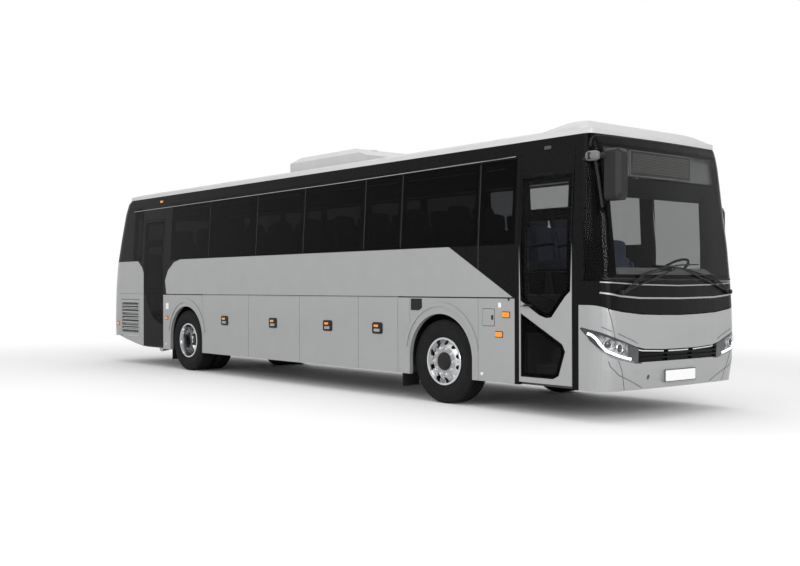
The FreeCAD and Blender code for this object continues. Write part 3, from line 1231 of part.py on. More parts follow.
def build_interior():
    """Seats, dashboard, steering wheel and the sign behind the windscreen."""
    seats = []
    for i in range(SEAT_ROWS):
        x = SEAT_FIRST_X - i * SEAT_PITCH
        pair = prism_y(seat_outline(x, DECK_Z), SEAT_Y0, SEAT_Y0 + SEAT_W)
        seats.append(pair)
        if x - SEAT_D - 2 * SEAT_PAD > REAR_DOOR_X1:
            seats.append(mirrored(pair))
    half = SEAT_W / 4
    driver_x = DRIVER_SEAT_X + SEAT_D / 2
    seats.append(prism_y(seat_outline(driver_x, PLATFORM_Z), DRIVER_SEAT_Y - half, DRIVER_SEAT_Y + half))
    save("seats", seats)
    core = end_core(True, DASH_Z0, DASH_Z1, WALL, 0)
    dash = prism_y(DASH_OUTLINE, DASH_Y0, INNER_Y).common(core)
    centre = V(*WHEEL_AT)
    lean = V(-sin(radians(COLUMN_LEAN)), 0, cos(radians(COLUMN_LEAN)))
    spoke = WHEEL_TUBE_R / 2
    half_hub = WHEEL_TUBE_R * 2
    wheel = fused([hoop(), block(-spoke, spoke, -WHEEL_R, WHEEL_R, -spoke, spoke),
                   block(-WHEEL_R, 0, -spoke, spoke, -spoke, spoke),
                   block(-2 * half_hub, half_hub, -2 * half_hub, 2 * half_hub, -half_hub, spoke)])
    wheel.rotate(ORIGIN, AXIS_Y, -COLUMN_LEAN)
    wheel.translate(centre)
    save("steering_wheel", wheel)
    column = rod(centre - lean * COLUMN_LENGTH, centre - lean * (WHEEL_TUBE_R * 2 + RUN_GAP), WHEEL_TUBE_R * 2)
    save("dashboard", fused([dash, column]))
    sign = block(SIGN_X - SIGN_DEPTH, SIGN_X, -SIGN_HALF_Y, SIGN_HALF_Y, SIGN_Z0, SIGN_Z1)
    save("destination_sign", sign)


DASH_Z0 = PLATFORM_Z
DASH_Z1 = 1500.0
DASH_Y0 = -250.0
DASH_OUTLINE = [(5335.0, PLATFORM_Z), (5335.0, 1340.0), (5310.0, 1430.0), (5350.0, 1490.0), (5712.0, 1470.0),
                (5712.0, 1400.0), (5490.0, 1400.0), (5490.0, PLATFORM_Z)]
COLUMN_LENGTH = 300.0
SIGN_X = 5585.0
SIGN_DEPTH = 60.0
SIGN_HALF_Y = 580.0
SIGN_Z0 = 2670.0
SIGN_Z1 = 2960.0


def build_outside_fittings():
    """Mirrors, wipers, mud flaps and marker lamps."""
    save("mirrors", [mirror(MIRROR_HEAD, [MIRROR_ELBOW]), mirrored(mirror(LEFT_MIRROR_HEAD, []))])
    save("wipers", wipers())
    flap = block(MUDFLAP_X, MUDFLAP_X + MUDFLAP_THICK, WHEELHOUSE_Y, INNER_Y, MUDFLAP_Z0, SKIRT_Z)
    front = block(MUDFLAP_FRONT_X, MUDFLAP_FRONT_X + MUDFLAP_THICK, MUDFLAP_FRONT_Y, INNER_Y, MUDFLAP_Z0, SKIRT_Z)
    save("mudflaps", [flap, mirrored(flap), front, mirrored(front)])


MUDFLAP_X = REAR_AXLE_X - ARCH_R - PLATE
MUDFLAP_FRONT_X = FRONT_HOUSE_X0
MUDFLAP_FRONT_Y = 930.0
MUDFLAP_THICK = 10.0
MUDFLAP_Z0 = 160.0
MIRROR_HEAD = (5820.0, FRONT_X, -1350.0, -1160.0, 2345.0, 2880.0)
MIRROR_ELBOW = (5700.0, -1412.0)
LEFT_MIRROR_HEAD = (5395.0, 5535.0, -1448.0, -1284.0, 1950.0, 2420.0)
MIRROR_ARM_R = 28.0
MIRROR_KNUCKLE_R = 36.0
MIRROR_ROUND = 40.0
MIRROR_CHORDS = 3


def rounded_loop(x, y0, y1, z0, z1):
    """Rectangle with rounded corners across X, as points."""
    loop = []
    corners = ((y1, z1, -1, -1, 0), (y0, z1, 1, -1, 1), (y0, z0, 1, 1, 2), (y1, z0, -1, 1, 3))
    for y, z, toward_y, toward_z, quarter in corners:
        for i in range(MIRROR_CHORDS + 1):
            angle = (quarter + i / MIRROR_CHORDS) * pi / 2
            loop.append(V(x, y + toward_y * MIRROR_ROUND + MIRROR_ROUND * cos(angle),
                          z + toward_z * MIRROR_ROUND + MIRROR_ROUND * sin(angle)))
    return loop


def mirror(box, elbows):
    """Mirror head on an arm that reaches it from the corner pillar, past any elbows."""
    x0, x1, y0, y1, z0, z1 = box
    loops = []
    for x, inset in ((x0, 0), (x1 - MIRROR_ROUND, 0), (x1, MIRROR_ROUND)):
        loops.append(rounded_loop(x, y0 + inset, y1 - inset, z0 + inset, z1 - inset))
    arm_z = z1 - MIRROR_ROUND - MIRROR_ARM_R
    route = [V(SCREEN_EDGE_X - MIRROR_ROUND, -side_y(z1) + GLASS, arm_z)]
    route.extend([V(x, y, arm_z) for x, y in elbows])
    route.append(V((x0 + x1) / 2, y0 + MIRROR_ROUND + MIRROR_ARM_R, arm_z))
    pieces = [rod(start, end, MIRROR_ARM_R) for start, end in zip(route[:-1], route[1:])]
    rise = V(0, 0, MIRROR_KNUCKLE_R)
    pieces.extend([rod(point - rise, point + rise, MIRROR_KNUCKLE_R) for point in route[1:-1]])
    arm = fused(pieces).cut(side_strip(0, NOSE_JOIN_X + OVERRUN * 2, SILL_Z, CANT_Z))
    arm = arm.cut(end_core(True, SILL_Z, CANT_Z, 0, 0))
    return fused([skinned(loops, True)] + arm.Solids)


WIPER_PIVOT_Y = 1040.0
WIPER_PIVOT_Z = 1385.0
WIPER_R = 9.0
WIPER_OFF = 22.0
WIPER_TIP_Y = 90.0
WIPER_TIP_Z = 1640.0
WIPER_BLADE = 880.0


def wipers():
    """Two parked wiper arms with their blades, clear of the glass."""
    arms = []
    for side in (-1.0, 1.0):
        base = V(nose_surface_x(WIPER_PIVOT_Y, WIPER_PIVOT_Z), side * WIPER_PIVOT_Y, WIPER_PIVOT_Z)
        out = V(WIPER_OFF, 0, 0)
        tip = V(nose_surface_x(WIPER_TIP_Y, WIPER_TIP_Z), side * WIPER_TIP_Y, WIPER_TIP_Z)
        boss = rod(base, base + out * 2, WIPER_R * 2)
        arm = rod(base + out * 3 / 2, tip + out, WIPER_R)
        arms.append(fused([boss, arm]).cut(end_core(True, SKIRT_Z, CANT_Z, 0, 0)))
    return arms


def nose_surface_x(y, z):
    """Reach of the front skin at a place across the barrel."""
    corner = corner_r(True, z)
    barrel_r = (side_y(z) - corner) / sin(radians(NOSE_SWEEP)) + corner
    return nose_x(z) - barrel_r + sqrt(barrel_r ** 2 - y ** 2)


os.makedirs("parts", exist_ok=True)
build_sides()
build_flaps()
build_side_grilles()
build_front()
build_rear()
build_roof()
build_floors()
build_running_gear()
door("front_door", FRONT_DOOR_X0, FRONT_DOOR_X1, FRONT_DOOR_TOP_Z, [FRONT_LOWER_PANE, FRONT_UPPER_PANE])
door("rear_door", REAR_DOOR_X0, REAR_DOOR_X1, REAR_DOOR_TOP_Z, [REAR_LOWER_PANE])
build_interior()
build_outside_fittings()
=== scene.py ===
import json
import logging
import math
from dataclasses import dataclass, field
from enum import Enum
from typing import Callable, Sequence, Union

import bmesh
import bpy
from mathutils import Matrix, Vector
from mathutils.bvhtree import BVHTree

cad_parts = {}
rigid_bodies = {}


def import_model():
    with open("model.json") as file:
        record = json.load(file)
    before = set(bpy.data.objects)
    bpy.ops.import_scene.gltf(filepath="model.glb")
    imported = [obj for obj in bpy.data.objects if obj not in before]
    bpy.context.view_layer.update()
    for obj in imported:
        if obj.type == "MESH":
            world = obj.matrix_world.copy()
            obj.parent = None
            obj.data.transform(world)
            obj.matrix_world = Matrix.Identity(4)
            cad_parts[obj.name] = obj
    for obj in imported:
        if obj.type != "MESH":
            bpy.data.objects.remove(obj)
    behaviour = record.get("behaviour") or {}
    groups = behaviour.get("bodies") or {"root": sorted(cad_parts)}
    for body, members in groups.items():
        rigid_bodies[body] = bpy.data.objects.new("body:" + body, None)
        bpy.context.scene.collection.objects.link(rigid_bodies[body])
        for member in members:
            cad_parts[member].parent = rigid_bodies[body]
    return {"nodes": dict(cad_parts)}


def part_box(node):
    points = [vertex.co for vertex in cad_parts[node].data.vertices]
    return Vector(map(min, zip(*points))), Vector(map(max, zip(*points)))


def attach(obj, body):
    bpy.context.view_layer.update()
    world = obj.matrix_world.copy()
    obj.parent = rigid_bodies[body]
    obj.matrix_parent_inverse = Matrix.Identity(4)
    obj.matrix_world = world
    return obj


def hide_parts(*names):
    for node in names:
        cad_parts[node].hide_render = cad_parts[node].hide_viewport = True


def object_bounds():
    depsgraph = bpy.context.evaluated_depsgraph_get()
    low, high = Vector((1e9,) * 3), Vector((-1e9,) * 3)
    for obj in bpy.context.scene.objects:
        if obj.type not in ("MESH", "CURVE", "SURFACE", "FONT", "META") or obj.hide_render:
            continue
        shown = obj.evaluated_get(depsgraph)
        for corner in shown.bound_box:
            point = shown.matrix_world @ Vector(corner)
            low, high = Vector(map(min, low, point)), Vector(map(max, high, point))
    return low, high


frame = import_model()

LOG = logging.getLogger("coach")
Point = tuple[float, float, float]
Colour = tuple[float, float, float]
Flat = tuple[float, float]
Line = Sequence[Flat]
CAD_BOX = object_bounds()
BODY = "coach_body"
DIAGONAL = math.sqrt(0.5)
EDGE_SUNK = 0.002
FINE_MOVE = 0.003
X, Y, Z = Vector((1, 0, 0)), Vector((0, 1, 0)), Vector((0, 0, 1))


class Side(Enum):
    """Side of the coach, as the sign of Y."""

    RIGHT = -1
    LEFT = 1

    @property
    def word(self) -> str:
        """Lower-case word for names."""
        return self.name.lower()


class Axis(Enum):
    """Axis of the coach, as the place of its number in a point."""

    X = 0
    Y = 1


class Grain(Enum):
    """Fine surface of a finish: waves per metre, octaves or a weave's distortion, and depth in metres."""

    ORANGE_PEEL = (160.0, 2.0, 0.0004)
    MOULDED = (650.0, 4.0, 0.0006)
    BRUSHED = (1.0, 2.0, 0.0003)
    WOVEN = (260.0, 1.2, 0.0006)
    SMOOTH = (0.0, 0.0, 0.0)


class Nodes:
    """Short way of adding and joining the nodes of a material or a world."""

    def __init__(self, owner: Union[bpy.types.Material, bpy.types.World]) -> None:
        """Start on the owner's own tree."""
        owner.use_nodes = True
        self.tree = owner.node_tree
        self.shader = self.tree.nodes.get("Principled BSDF")

    def add(self, kind: str, *feeds: bpy.types.NodeSocket, **values: object) -> bpy.types.Node:
        """Add a node, set its inputs or properties by name, and feed its first inputs.

        Args:
            kind: Blender's name of the node type.
            *feeds: Outputs for its inputs, in their order.
            **values: Inputs, with underscores for spaces, or properties.

        Returns:
            The new node.
        """
        node = self.tree.nodes.new(kind)
        for key, value in values.items():
            socket = key.replace("_", " ")
            if socket in node.inputs:
                node.inputs[socket].default_value = value
            else:
                setattr(node, key, value)
        for feed, socket in zip(feeds, node.inputs):
            self.join(feed, socket)
        return node

    def join(self, out: bpy.types.NodeSocket, into: bpy.types.NodeSocket) -> None:
        """Link an output to an input."""
        self.tree.links.new(out, into)

    def place(self) -> bpy.types.NodeSocket:
        """Coordinates of the piece itself."""
        node = self.tree.nodes.get("Texture Coordinate") or self.add("ShaderNodeTexCoord")
        return node.outputs["Object"]

    def noise(self, scale: float, detail: float = 3.0) -> bpy.types.NodeSocket:
        """Noise of so many waves per metre and octaves over the piece's own place."""
        return self.add("ShaderNodeTexNoise", self.place(), Scale=scale, Detail=detail).outputs["Fac"]

    def ramp(self, fac: bpy.types.NodeSocket, low: Colour, high: Colour) -> bpy.types.NodeSocket:
        """Colour that goes from one value to another.

        Args:
            fac: What drives the ramp.
            low: Colour at the start.
            high: Colour at the end.

        Returns:
            The colour socket.
        """
        node = self.add("ShaderNodeValToRGB", fac)
        first, last = node.color_ramp.elements
        first.position, last.position = 0.3, 0.7
        first.color, last.color = (*low, 1.0), (*high, 1.0)
        return node.outputs["Color"]

    def bump(self, height: bpy.types.NodeSocket, strength: float, distance: float) -> None:
        """Add a bump to the shader, over any bump that is there.

        Args:
            height: What drives the bump.
            strength: Share of the full effect.
            distance: Depth in metres.
        """
        node = self.add("ShaderNodeBump", Strength=strength, Distance=distance)
        normal = self.shader.inputs["Normal"]
        self.join(height, node.inputs["Height"])
        if normal.links:
            self.join(normal.links[0].from_socket, node.inputs["Normal"])
        self.join(node.outputs["Normal"], normal)


@dataclass(frozen=True)
class Finish:
    """A surface finish, built once as a material with its own nodes."""

    name: str
    colour: Colour
    roughness: float
    grain: Grain = Grain.SMOOTH
    metallic: float = 0.0
    coat: float = 0.0
    shade: float = 0.92
    scale: float = 3.0
    bump: float = 0.0
    clear: float = 0.0
    glow: float = 0.0
    sheen: float = 0.0
    gleam: float = 0.5
    bend: float = 1.5

    def material(self) -> bpy.types.Material:
        """Return the material, made on first use."""
        return bpy.data.materials.get(self.name) or self.mixed()

    def mixed(self) -> bpy.types.Material:
        """Make the material, with colour and roughness that vary, and its grain.

        Returns:
            The new material.
        """
        material = bpy.data.materials.new(self.name)
        nodes = Nodes(material)
        shader = nodes.shader.inputs
        for socket, value in (("Metallic", self.metallic), ("Specular IOR Level", self.gleam),
                              ("IOR", self.bend), ("Coat Weight", self.coat), ("Coat Roughness", 0.04),
                              ("Sheen Weight", self.sheen), ("Transmission Weight", self.clear)):
            shader[socket].default_value = value
        if self.glow:
            shader["Emission Color"].default_value = (*self.colour, 1.0)
            shader["Emission Strength"].default_value = self.glow
        dark = tuple(part * self.shade for part in self.colour)
        nodes.join(nodes.ramp(nodes.noise(self.scale), dark, self.colour), shader["Base Color"])
        rough = nodes.add("ShaderNodeMapRange", nodes.noise(self.scale * 9, 5.0), From_Min=0.3, From_Max=0.7,
                          To_Min=self.roughness * 0.85, To_Max=self.roughness * 1.15)
        nodes.join(rough.outputs["Result"], shader["Roughness"])
        self.add_grain(nodes)
        return material

    def add_grain(self, nodes: Nodes) -> None:
        """Add the bump of the finish's grain.

        Args:
            nodes: Node tree that receives it.
        """
        scale, detail, depth = self.grain.value
        heights = []
        if self.grain in (Grain.ORANGE_PEEL, Grain.MOULDED):
            heights = [nodes.noise(scale, detail)]
        elif self.grain is Grain.BRUSHED:
            streaks = nodes.add("ShaderNodeMapping", nodes.place(), Scale=(40.0, 900.0, 40.0))
            noise = nodes.add("ShaderNodeTexNoise", streaks.outputs["Vector"], Scale=scale, Detail=detail)
            heights = [noise.outputs["Fac"]]
        elif self.grain is Grain.WOVEN:
            heights = [nodes.add("ShaderNodeTexWave", nodes.place(), Scale=scale, Distortion=detail,
                                 bands_direction=way).outputs["Fac"] for way in ("X", "Z")]
        for height in heights:
            nodes.bump(height, self.bump, depth)


class Look:
    """Every finish of the coach."""

    BODY = Finish("grey_metallic_paint", (0.325, 0.328, 0.331), 0.34, Grain.ORANGE_PEEL, metallic=0.3,
                  coat=0.35, shade=0.96, bump=0.08)
    ROOF = Finish("white_roof_paint", (0.50, 0.50, 0.50), 0.45, Grain.ORANGE_PEEL, coat=0.05, shade=0.94,
                  bump=0.08)
    BLACK = Finish("gloss_black_paint", (0.005, 0.005, 0.0055), 0.3, Grain.ORANGE_PEEL, shade=0.8, bump=0.06,
                   gleam=0.07)
    DARK_GLASS = Finish("privacy_glass", (0.075, 0.077, 0.08), 0.03, clear=1.0, shade=0.95, gleam=0.2,
                        bend=1.12)
    CLEAR_GLASS = Finish("clear_tinted_glass", (0.45, 0.455, 0.455), 0.01, clear=1.0, shade=0.99, gleam=0.3,
                         bend=1.14)
    LAMP_GLASS = Finish("lamp_cover", (0.03, 0.032, 0.036), 0.06, coat=0.5, shade=0.6, scale=14.0)
    LAMP_BOWL = Finish("lamp_reflector", (0.55, 0.56, 0.58), 0.14, metallic=0.95, shade=0.12, scale=22.0)
    LED = Finish("daytime_strip", (0.95, 0.96, 1.0), 0.2, glow=0.75, scale=30.0)
    CHROME = Finish("bright_chrome", (0.82, 0.83, 0.84), 0.09, metallic=1.0, shade=0.95, scale=12.0)
    TRIM = Finish("satin_grey_trim", (0.34, 0.34, 0.35), 0.35, metallic=0.5, shade=0.9, scale=12.0)
    RED = Finish("red_lens", (0.38, 0.012, 0.01), 0.12, coat=0.6, shade=0.7, scale=40.0)
    AMBER = Finish("amber_lens", (0.9, 0.28, 0.02), 0.14, coat=0.6, shade=0.8, scale=40.0, glow=0.15)
    WHEEL = Finish("polished_wheel", (0.60, 0.61, 0.62), 0.2, Grain.ORANGE_PEEL, metallic=1.0, shade=0.93,
                   scale=9.0, bump=0.02)
    TYRE = Finish("tyre_rubber", (0.010, 0.010, 0.0105), 0.75, Grain.MOULDED, shade=0.7, scale=8.0, bump=0.25,
                  gleam=0.15)
    RUBBER = Finish("seal_rubber", (0.01, 0.01, 0.01), 0.6, Grain.MOULDED, shade=0.7, scale=20.0, bump=0.2,
                    gleam=0.3)
    PLASTIC = Finish("black_moulded_plastic", (0.012, 0.012, 0.0125), 0.45, Grain.MOULDED, shade=0.8,
                     scale=10.0, bump=0.18, gleam=0.2)
    # Dark grey: painted shade along the mask's pressed creases and in the engine lid's louvre slots, and the
    # real colour of the sign panel and mirror arm cap.
    CREASE = Finish("shadow_line_paint", (0.12, 0.121, 0.123), 0.4, Grain.ORANGE_PEEL, shade=0.9, scale=9.0)
    DASH = Finish("dash_moulding", (0.5, 0.5, 0.5), 0.6, Grain.MOULDED, shade=0.9, scale=9.0, bump=0.2)
    LINING = Finish("cabin_lining", (0.07, 0.07, 0.07), 0.8, Grain.WOVEN, scale=9.0, bump=0.15)
    CHASSIS = Finish("chassis_paint", (0.03, 0.03, 0.032), 0.55, Grain.MOULDED, shade=0.7, scale=6.0,
                     bump=0.2)
    STEEL = Finish("arm_steel", (0.42, 0.42, 0.43), 0.3, Grain.BRUSHED, metallic=1.0, scale=12.0, bump=0.08)
    FLOOR = Finish("ribbed_floor", (0.055, 0.055, 0.06), 0.6, Grain.MOULDED, shade=0.8, scale=8.0, bump=0.3)
    CLOTH = Finish("seat_cloth", (0.018, 0.020, 0.030), 0.85, Grain.WOVEN, shade=0.7, scale=18.0, bump=0.35,
                   sheen=0.2)
    PLATE = Finish("plate_white", (0.8, 0.8, 0.8), 0.35, Grain.MOULDED, coat=0.3, shade=0.97, scale=20.0,
                   bump=0.04)
    DOT = Finish("unlit_dots", (0.55, 0.54, 0.50), 0.5, shade=0.85, scale=60.0)


NODE_FINISHES: dict[Finish, tuple[str, ...]] = {
    Look.BODY: ("side_panels", "front_mask", "front_flap", "rear_panel", "engine_lid", "side_grille_right",
                "side_grille_left", "front_door_skin",
                *(f"luggage_flap_{i}_{side.word}" for side in Side for i in range(1, 5))),
    Look.ROOF: ("roof", "roof_units"),
    Look.BLACK: ("window_frames", "rear_window_frame", "screen_surround", "front_door_leaf", "rear_door_leaf",
                 "rear_door_skin", "front_grille"),
    Look.DARK_GLASS: ("tinted_glass", "rear_door_glass"),
    Look.CLEAR_GLASS: ("windscreen", "front_door_glass"),
    Look.LAMP_GLASS: ("headlamps",),
    Look.RED: ("tail_lamps",),
    Look.PLASTIC: ("mirrors", "wipers", "steering_wheel", "hinge_rails"),
    Look.DASH: ("dashboard", "destination_sign"),
    Look.CHASSIS: ("bulkheads", "frame_rails", "front_axle", "rear_axle", "knuckle_left", "knuckle_right",
                   "tie_rod", "engine"),
    Look.FLOOR: ("floors", "stairs"),
    Look.WHEEL: ("rim_front_left", "rim_front_right", "rim_rear_left", "rim_rear_right"),
    Look.TYRE: ("tyre_front_left", "tyre_front_right", "tyres_rear_left", "tyres_rear_right"),
    Look.CLOTH: ("seats",),
    Look.STEEL: ("front_door_arm", "rear_door_arm"),
    Look.RUBBER: ("mudflaps",),
}


def circle(centre: Vector, first: Vector, second: Vector, count: int, start: float = 0.0) -> list[Vector]:
    """Points round a circle or an ellipse.

    Args:
        centre: Its middle.
        first: Arm that reaches its first point.
        second: Arm a quarter turn on.
        count: Number of points.
        start: Steps by which the first point is turned on.

    Returns:
        The points in order.
    """
    turns = [2 * math.pi * (i + start) / count for i in range(count)]
    return [centre + first * math.cos(t) + second * math.sin(t) for t in turns]


def along(low: float, high: float, count: int) -> list[float]:
    """Even steps from one value to another, both included."""
    return [low + (high - low) * i / (count - 1) for i in range(count)]


class Shape:
    """A mesh under way, made of lofts, prisms, tubes and turned parts."""

    def __init__(self, name: str) -> None:
        """Start an empty mesh for the piece of that name."""
        self.name = name
        self.mesh = bmesh.new()

    def loft(self, loops: Sequence[Sequence[Vector]], caps: bool = True, wrap: bool = False,
             closed: bool = True) -> "Shape":
        """Skin a row of loops.

        Args:
            loops: Like loops of points.
            caps: Close the first and last loop.
            wrap: Join the last loop to the first.
            closed: Join each loop's last point to its first.

        Returns:
            The same shape.
        """
        rings = [[self.mesh.verts.new(p) for p in loop] for loop in loops]
        pairs = list(zip(rings[:-1], rings[1:])) + ([(rings[-1], rings[0])] if wrap else [])
        for low, high in pairs:
            for i in range(len(low) if closed else len(low) - 1):
                j = (i + 1) % len(low)
                self.mesh.faces.new((low[i], low[j], high[j], high[i]))
        if caps and not wrap:
            self.mesh.faces.new(list(reversed(rings[0])))
            self.mesh.faces.new(rings[-1])
        return self

    def sheet(self, tops: Sequence[Sequence[Vector]], feet: Sequence[Sequence[Vector]]) -> "Shape":
        """Close a thin body between two like grids of points.

        Args:
            tops: Rows of its outer face.
            feet: Rows of its inner face.

        Returns:
            The same shape.
        """
        top, foot = ([[self.mesh.verts.new(p) for p in row] for row in rows] for rows in (tops, feet))
        strips = [pair for grid in (top, foot) for pair in zip(grid[:-1], grid[1:])]
        strips += [(top[k], foot[k]) for k in (0, -1)]
        strips += [([row[k] for row in top], [row[k] for row in foot]) for k in (0, -1)]
        for low, high in strips:
            for i in range(len(low) - 1):
                self.mesh.faces.new((low[i], low[i + 1], high[i + 1], high[i]))
        return self

    def prism(self, outline: Sequence[Vector], out: Vector, draft: float = 0.0) -> "Shape":
        """Draw a flat outline out along a vector, with its far end a little smaller.

        Args:
            outline: Corner points.
            out: Run of the prism.
            draft: Share by which the far end is smaller.

        Returns:
            The same shape.
        """
        centre = sum(outline, Vector()) / len(outline)
        return self.loft([outline, [p + out + (centre - p) * draft for p in outline]])

    def slab(self, axis: Axis, place: float, run: float, outline: Line, draft: float = 0.0) -> "Shape":
        """Draw a section out along X or Y.

        Args:
            axis: Axis of the run.
            place: Where it starts.
            run: Its length.
            outline: Section, as (y, z) or (x, z).
            draft: Share by which the far end is smaller.

        Returns:
            The same shape.
        """
        points = [Vector((place, a, b) if axis is Axis.X else (a, place, b)) for a, b in outline]
        return self.prism(points, (X if axis is Axis.X else Y) * run, draft)

    def bar(self, foot: Vector, run: Vector, rise: Vector, out: Vector, draft: float = 0.0) -> "Shape":
        """Draw a four-cornered bar out from its foot along three vectors."""
        return self.prism([foot, foot + run, foot + run + rise, foot + rise], out, draft)

    def box(self, low: Point, high: Point) -> "Shape":
        """Add a block between two corners."""
        size = Vector(high) - Vector(low)
        return self.bar(Vector(low), X * size.x, Y * size.y, Z * size.z)

    def tube(self, path: Sequence[Vector], radius: float, sides: int) -> "Shape":
        """Round bar along a path of points.

        Args:
            path: Centre line.
            radius: Radius of the bar.
            sides: Flats round it.

        Returns:
            The same shape.
        """
        loops = []
        for i, point in enumerate(path):
            run = (path[min(i + 1, len(path) - 1)] - path[max(i - 1, 0)]).normalized()
            first = run.cross(Z if abs(run.z) < 0.9 else X).normalized()
            loops.append(circle(point, first * radius, run.cross(first) * radius, sides))
        return self.loft(loops)

    def rings(self, centre: Vector, out: Vector, first: Vector, marks: Line, count: int,
              wrap: bool = False) -> "Shape":
        """Skin a row of circles about a line.

        Args:
            centre: Point on the line.
            out: Direction of the line.
            first: Direction of each circle's first point.
            marks: Radius of each circle, and its place along the line.
            count: Points of each circle.
            wrap: Join the last circle to the first.

        Returns:
            The same shape.
        """
        second = out.cross(first)
        loops = [circle(centre + out * lift, first * r, second * r, count) for r, lift in marks]
        return self.loft(loops, wrap=wrap)

    def turned(self, profile: Line, centre: Vector, steps: int, closed: bool = True) -> "Shape":
        """Turn a profile about a line along Y.

        Args:
            profile: Points of (y offset, radius).
            centre: Point on the line.
            steps: Steps round it.
            closed: Join the profile's last point to its first.

        Returns:
            The same shape.
        """
        loops = [[centre + Y * y + arm * r for y, r in profile] for arm in circle(Vector(), X, Z, steps)]
        return self.loft(loops, wrap=True, closed=closed)

    def pillow(self, low: Vector, size: Vector, corner: float, crown: float, lean: float = 0.0,
               cuts: int = 5) -> "Shape":
        """Rounded block whose faces swell a little, like a stuffed cushion.

        Args:
            low: Lowest corner.
            size: Its length, width and height.
            corner: Radius of its edges.
            crown: Height of the swelling.
            lean: Run backwards (along -X) per unit of height.
            cuts: Subdivisions of each face.

        Returns:
            The same shape.
        """
        grid: dict[tuple[int, ...], bmesh.types.BMVert] = {}
        for axis, end, i, j in ((a, e, i, j) for a in range(3) for e in (0, cuts) for i in range(cuts)
                                for j in range(cuts)):
            ring = []
            for spot in ((i, j), (i + 1, j), (i + 1, j + 1), (i, j + 1)):
                key = (*spot[:axis], end, *spot[axis:])
                if key not in grid:
                    unit = Vector([2 * k / cuts - 1 for k in key])
                    place = low + size / 2 + self.swollen(unit, size / 2, corner, crown, lean)
                    grid[key] = self.mesh.verts.new(place)
                ring.append(grid[key])
            self.mesh.faces.new(ring)
        return self

    def swollen(self, unit: Vector, half: Vector, corner: float, crown: float, lean: float) -> Vector:
        """Place of a cube's surface point on the stuffed block.

        Args:
            unit: Point on a cube that runs from -1 to 1.
            half: Half sizes of the block.
            corner: Radius of its edges.
            crown: Height of the swelling.
            lean: Run backwards per unit of height.

        Returns:
            The point, measured from the block's middle.
        """
        full = unit * half
        inner = [max(h - corner, h * 0.2) for h in half]
        core = Vector([max(-i, min(i, f)) for i, f in zip(inner, full)])
        out = full - core
        if out.length > 1e-9:
            full = core + out.normalized() * max(abs(c) for c in out)
        swell = [(1 - unit[(i + 1) % 3] ** 2) * (1 - unit[(i + 2) % 3] ** 2) for i in range(3)]
        full += Vector([crown * swell[i] * unit[i] if abs(unit[i]) > 0.999 else 0.0 for i in range(3)])
        return full - X * lean * (full.z + half.z)

    def mirrored(self) -> "Shape":
        """Add the same again on the coach's other side."""
        geom = self.mesh.verts[:] + self.mesh.edges[:] + self.mesh.faces[:]
        made = bmesh.ops.duplicate(self.mesh, geom=geom)
        verts = [g for g in made["geom"] if isinstance(g, bmesh.types.BMVert)]
        bmesh.ops.scale(self.mesh, vec=(1, -1, 1), verts=verts)
        return self

    def done(self, finish: Finish, body: str = BODY, bevel: float = 0.0,
             angle: float = 35.0) -> bpy.types.Object:
        """Turn the mesh into a shown piece.

        Args:
            finish: Its surface.
            body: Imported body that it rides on.
            bevel: Width of its softened edges, in metres.
            angle: Edges flatter than this, in degrees, are shaded smooth.

        Returns:
            The new object.
        """
        bmesh.ops.recalc_face_normals(self.mesh, faces=self.mesh.faces[:])
        data = bpy.data.meshes.new(self.name)
        self.mesh.to_mesh(data)
        self.mesh.free()
        piece = bpy.data.objects.new(self.name, data)
        bpy.context.collection.objects.link(piece)
        data.materials.append(finish.material())
        if bevel:
            edge = piece.modifiers.new("soft_edges", "BEVEL")
            edge.width, edge.segments, edge.limit_method = bevel, 2, "ANGLE"
            edge.harden_normals = False
        data.shade_smooth()
        data.set_sharp_from_angle(angle=math.radians(angle))
        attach(piece, body)
        return piece


@dataclass(frozen=True)
class Aim:
    """A direction from which the skin is looked at, with its two drawing axes."""

    away: Vector
    across: Vector
    up: Vector
    reach: float = 5.8

    def start(self, a: float, b: float) -> Vector:
        """Point outside the coach above a drawing point."""
        return self.across * a + self.up * b + self.away * 10


FRONT = Aim(X, Y, Z)
REAR = Aim(-X, Y, Z)
TOP = Aim(Z, X, Y, 3.25)
ASIDE = {Side.RIGHT: Aim(-Y, X, Z, 1.27), Side.LEFT: Aim(Y, X, Z, 1.27)}
CORNERS = {Side.RIGHT: Aim((X - Y) * DIAGONAL, (X + Y) * DIAGONAL, Z),
           Side.LEFT: Aim((X + Y) * DIAGONAL, (X - Y) * DIAGONAL, Z)}


def between(first: Sequence[float], last: Sequence[float], share: float) -> tuple[float, ...]:
    """Point at a share of the way from one to another."""
    return tuple(p + (q - p) * share for p, q in zip(first, last))


def resampled(path: Line, count: int) -> list[Flat]:
    """Points at even steps along an open line.

    Args:
        path: Corners of the line.
        count: Number of points wanted.

    Returns:
        The new points.
    """
    runs = [math.dist(p, q) for p, q in zip(path[:-1], path[1:])]
    out = []
    for left in along(0.0, sum(runs), count):
        k = 0
        while k < len(runs) - 1 and left > runs[k]:
            left -= runs[k]
            k += 1
        out.append(between(path[k], path[k + 1], min(1.0, left / runs[k])))
    return out


def both_ways(half: Line) -> list[Flat]:
    """Line from one end to the middle, drawn on to the other end."""
    return [*half, *((-a, b) for a, b in reversed(half[:-1]))]


def rounded(half: float, rise: float, corner: float, steps: int) -> list[Flat]:
    """Outline of an upright oblong with round corners.

    Args:
        half: Half of its length.
        rise: Half of its height.
        corner: Radius of its corners.
        steps: Flats of each corner.

    Returns:
        Its points.
    """
    points = []
    for quarter, (a, b) in enumerate(((1, 1), (-1, 1), (-1, -1), (1, -1))):
        for turn in along(quarter * math.pi / 2, (quarter + 1) * math.pi / 2, steps + 1):
            points.append((a * (half - corner) + corner * math.cos(turn),
                           b * (rise - corner) + corner * math.sin(turn)))
    return points


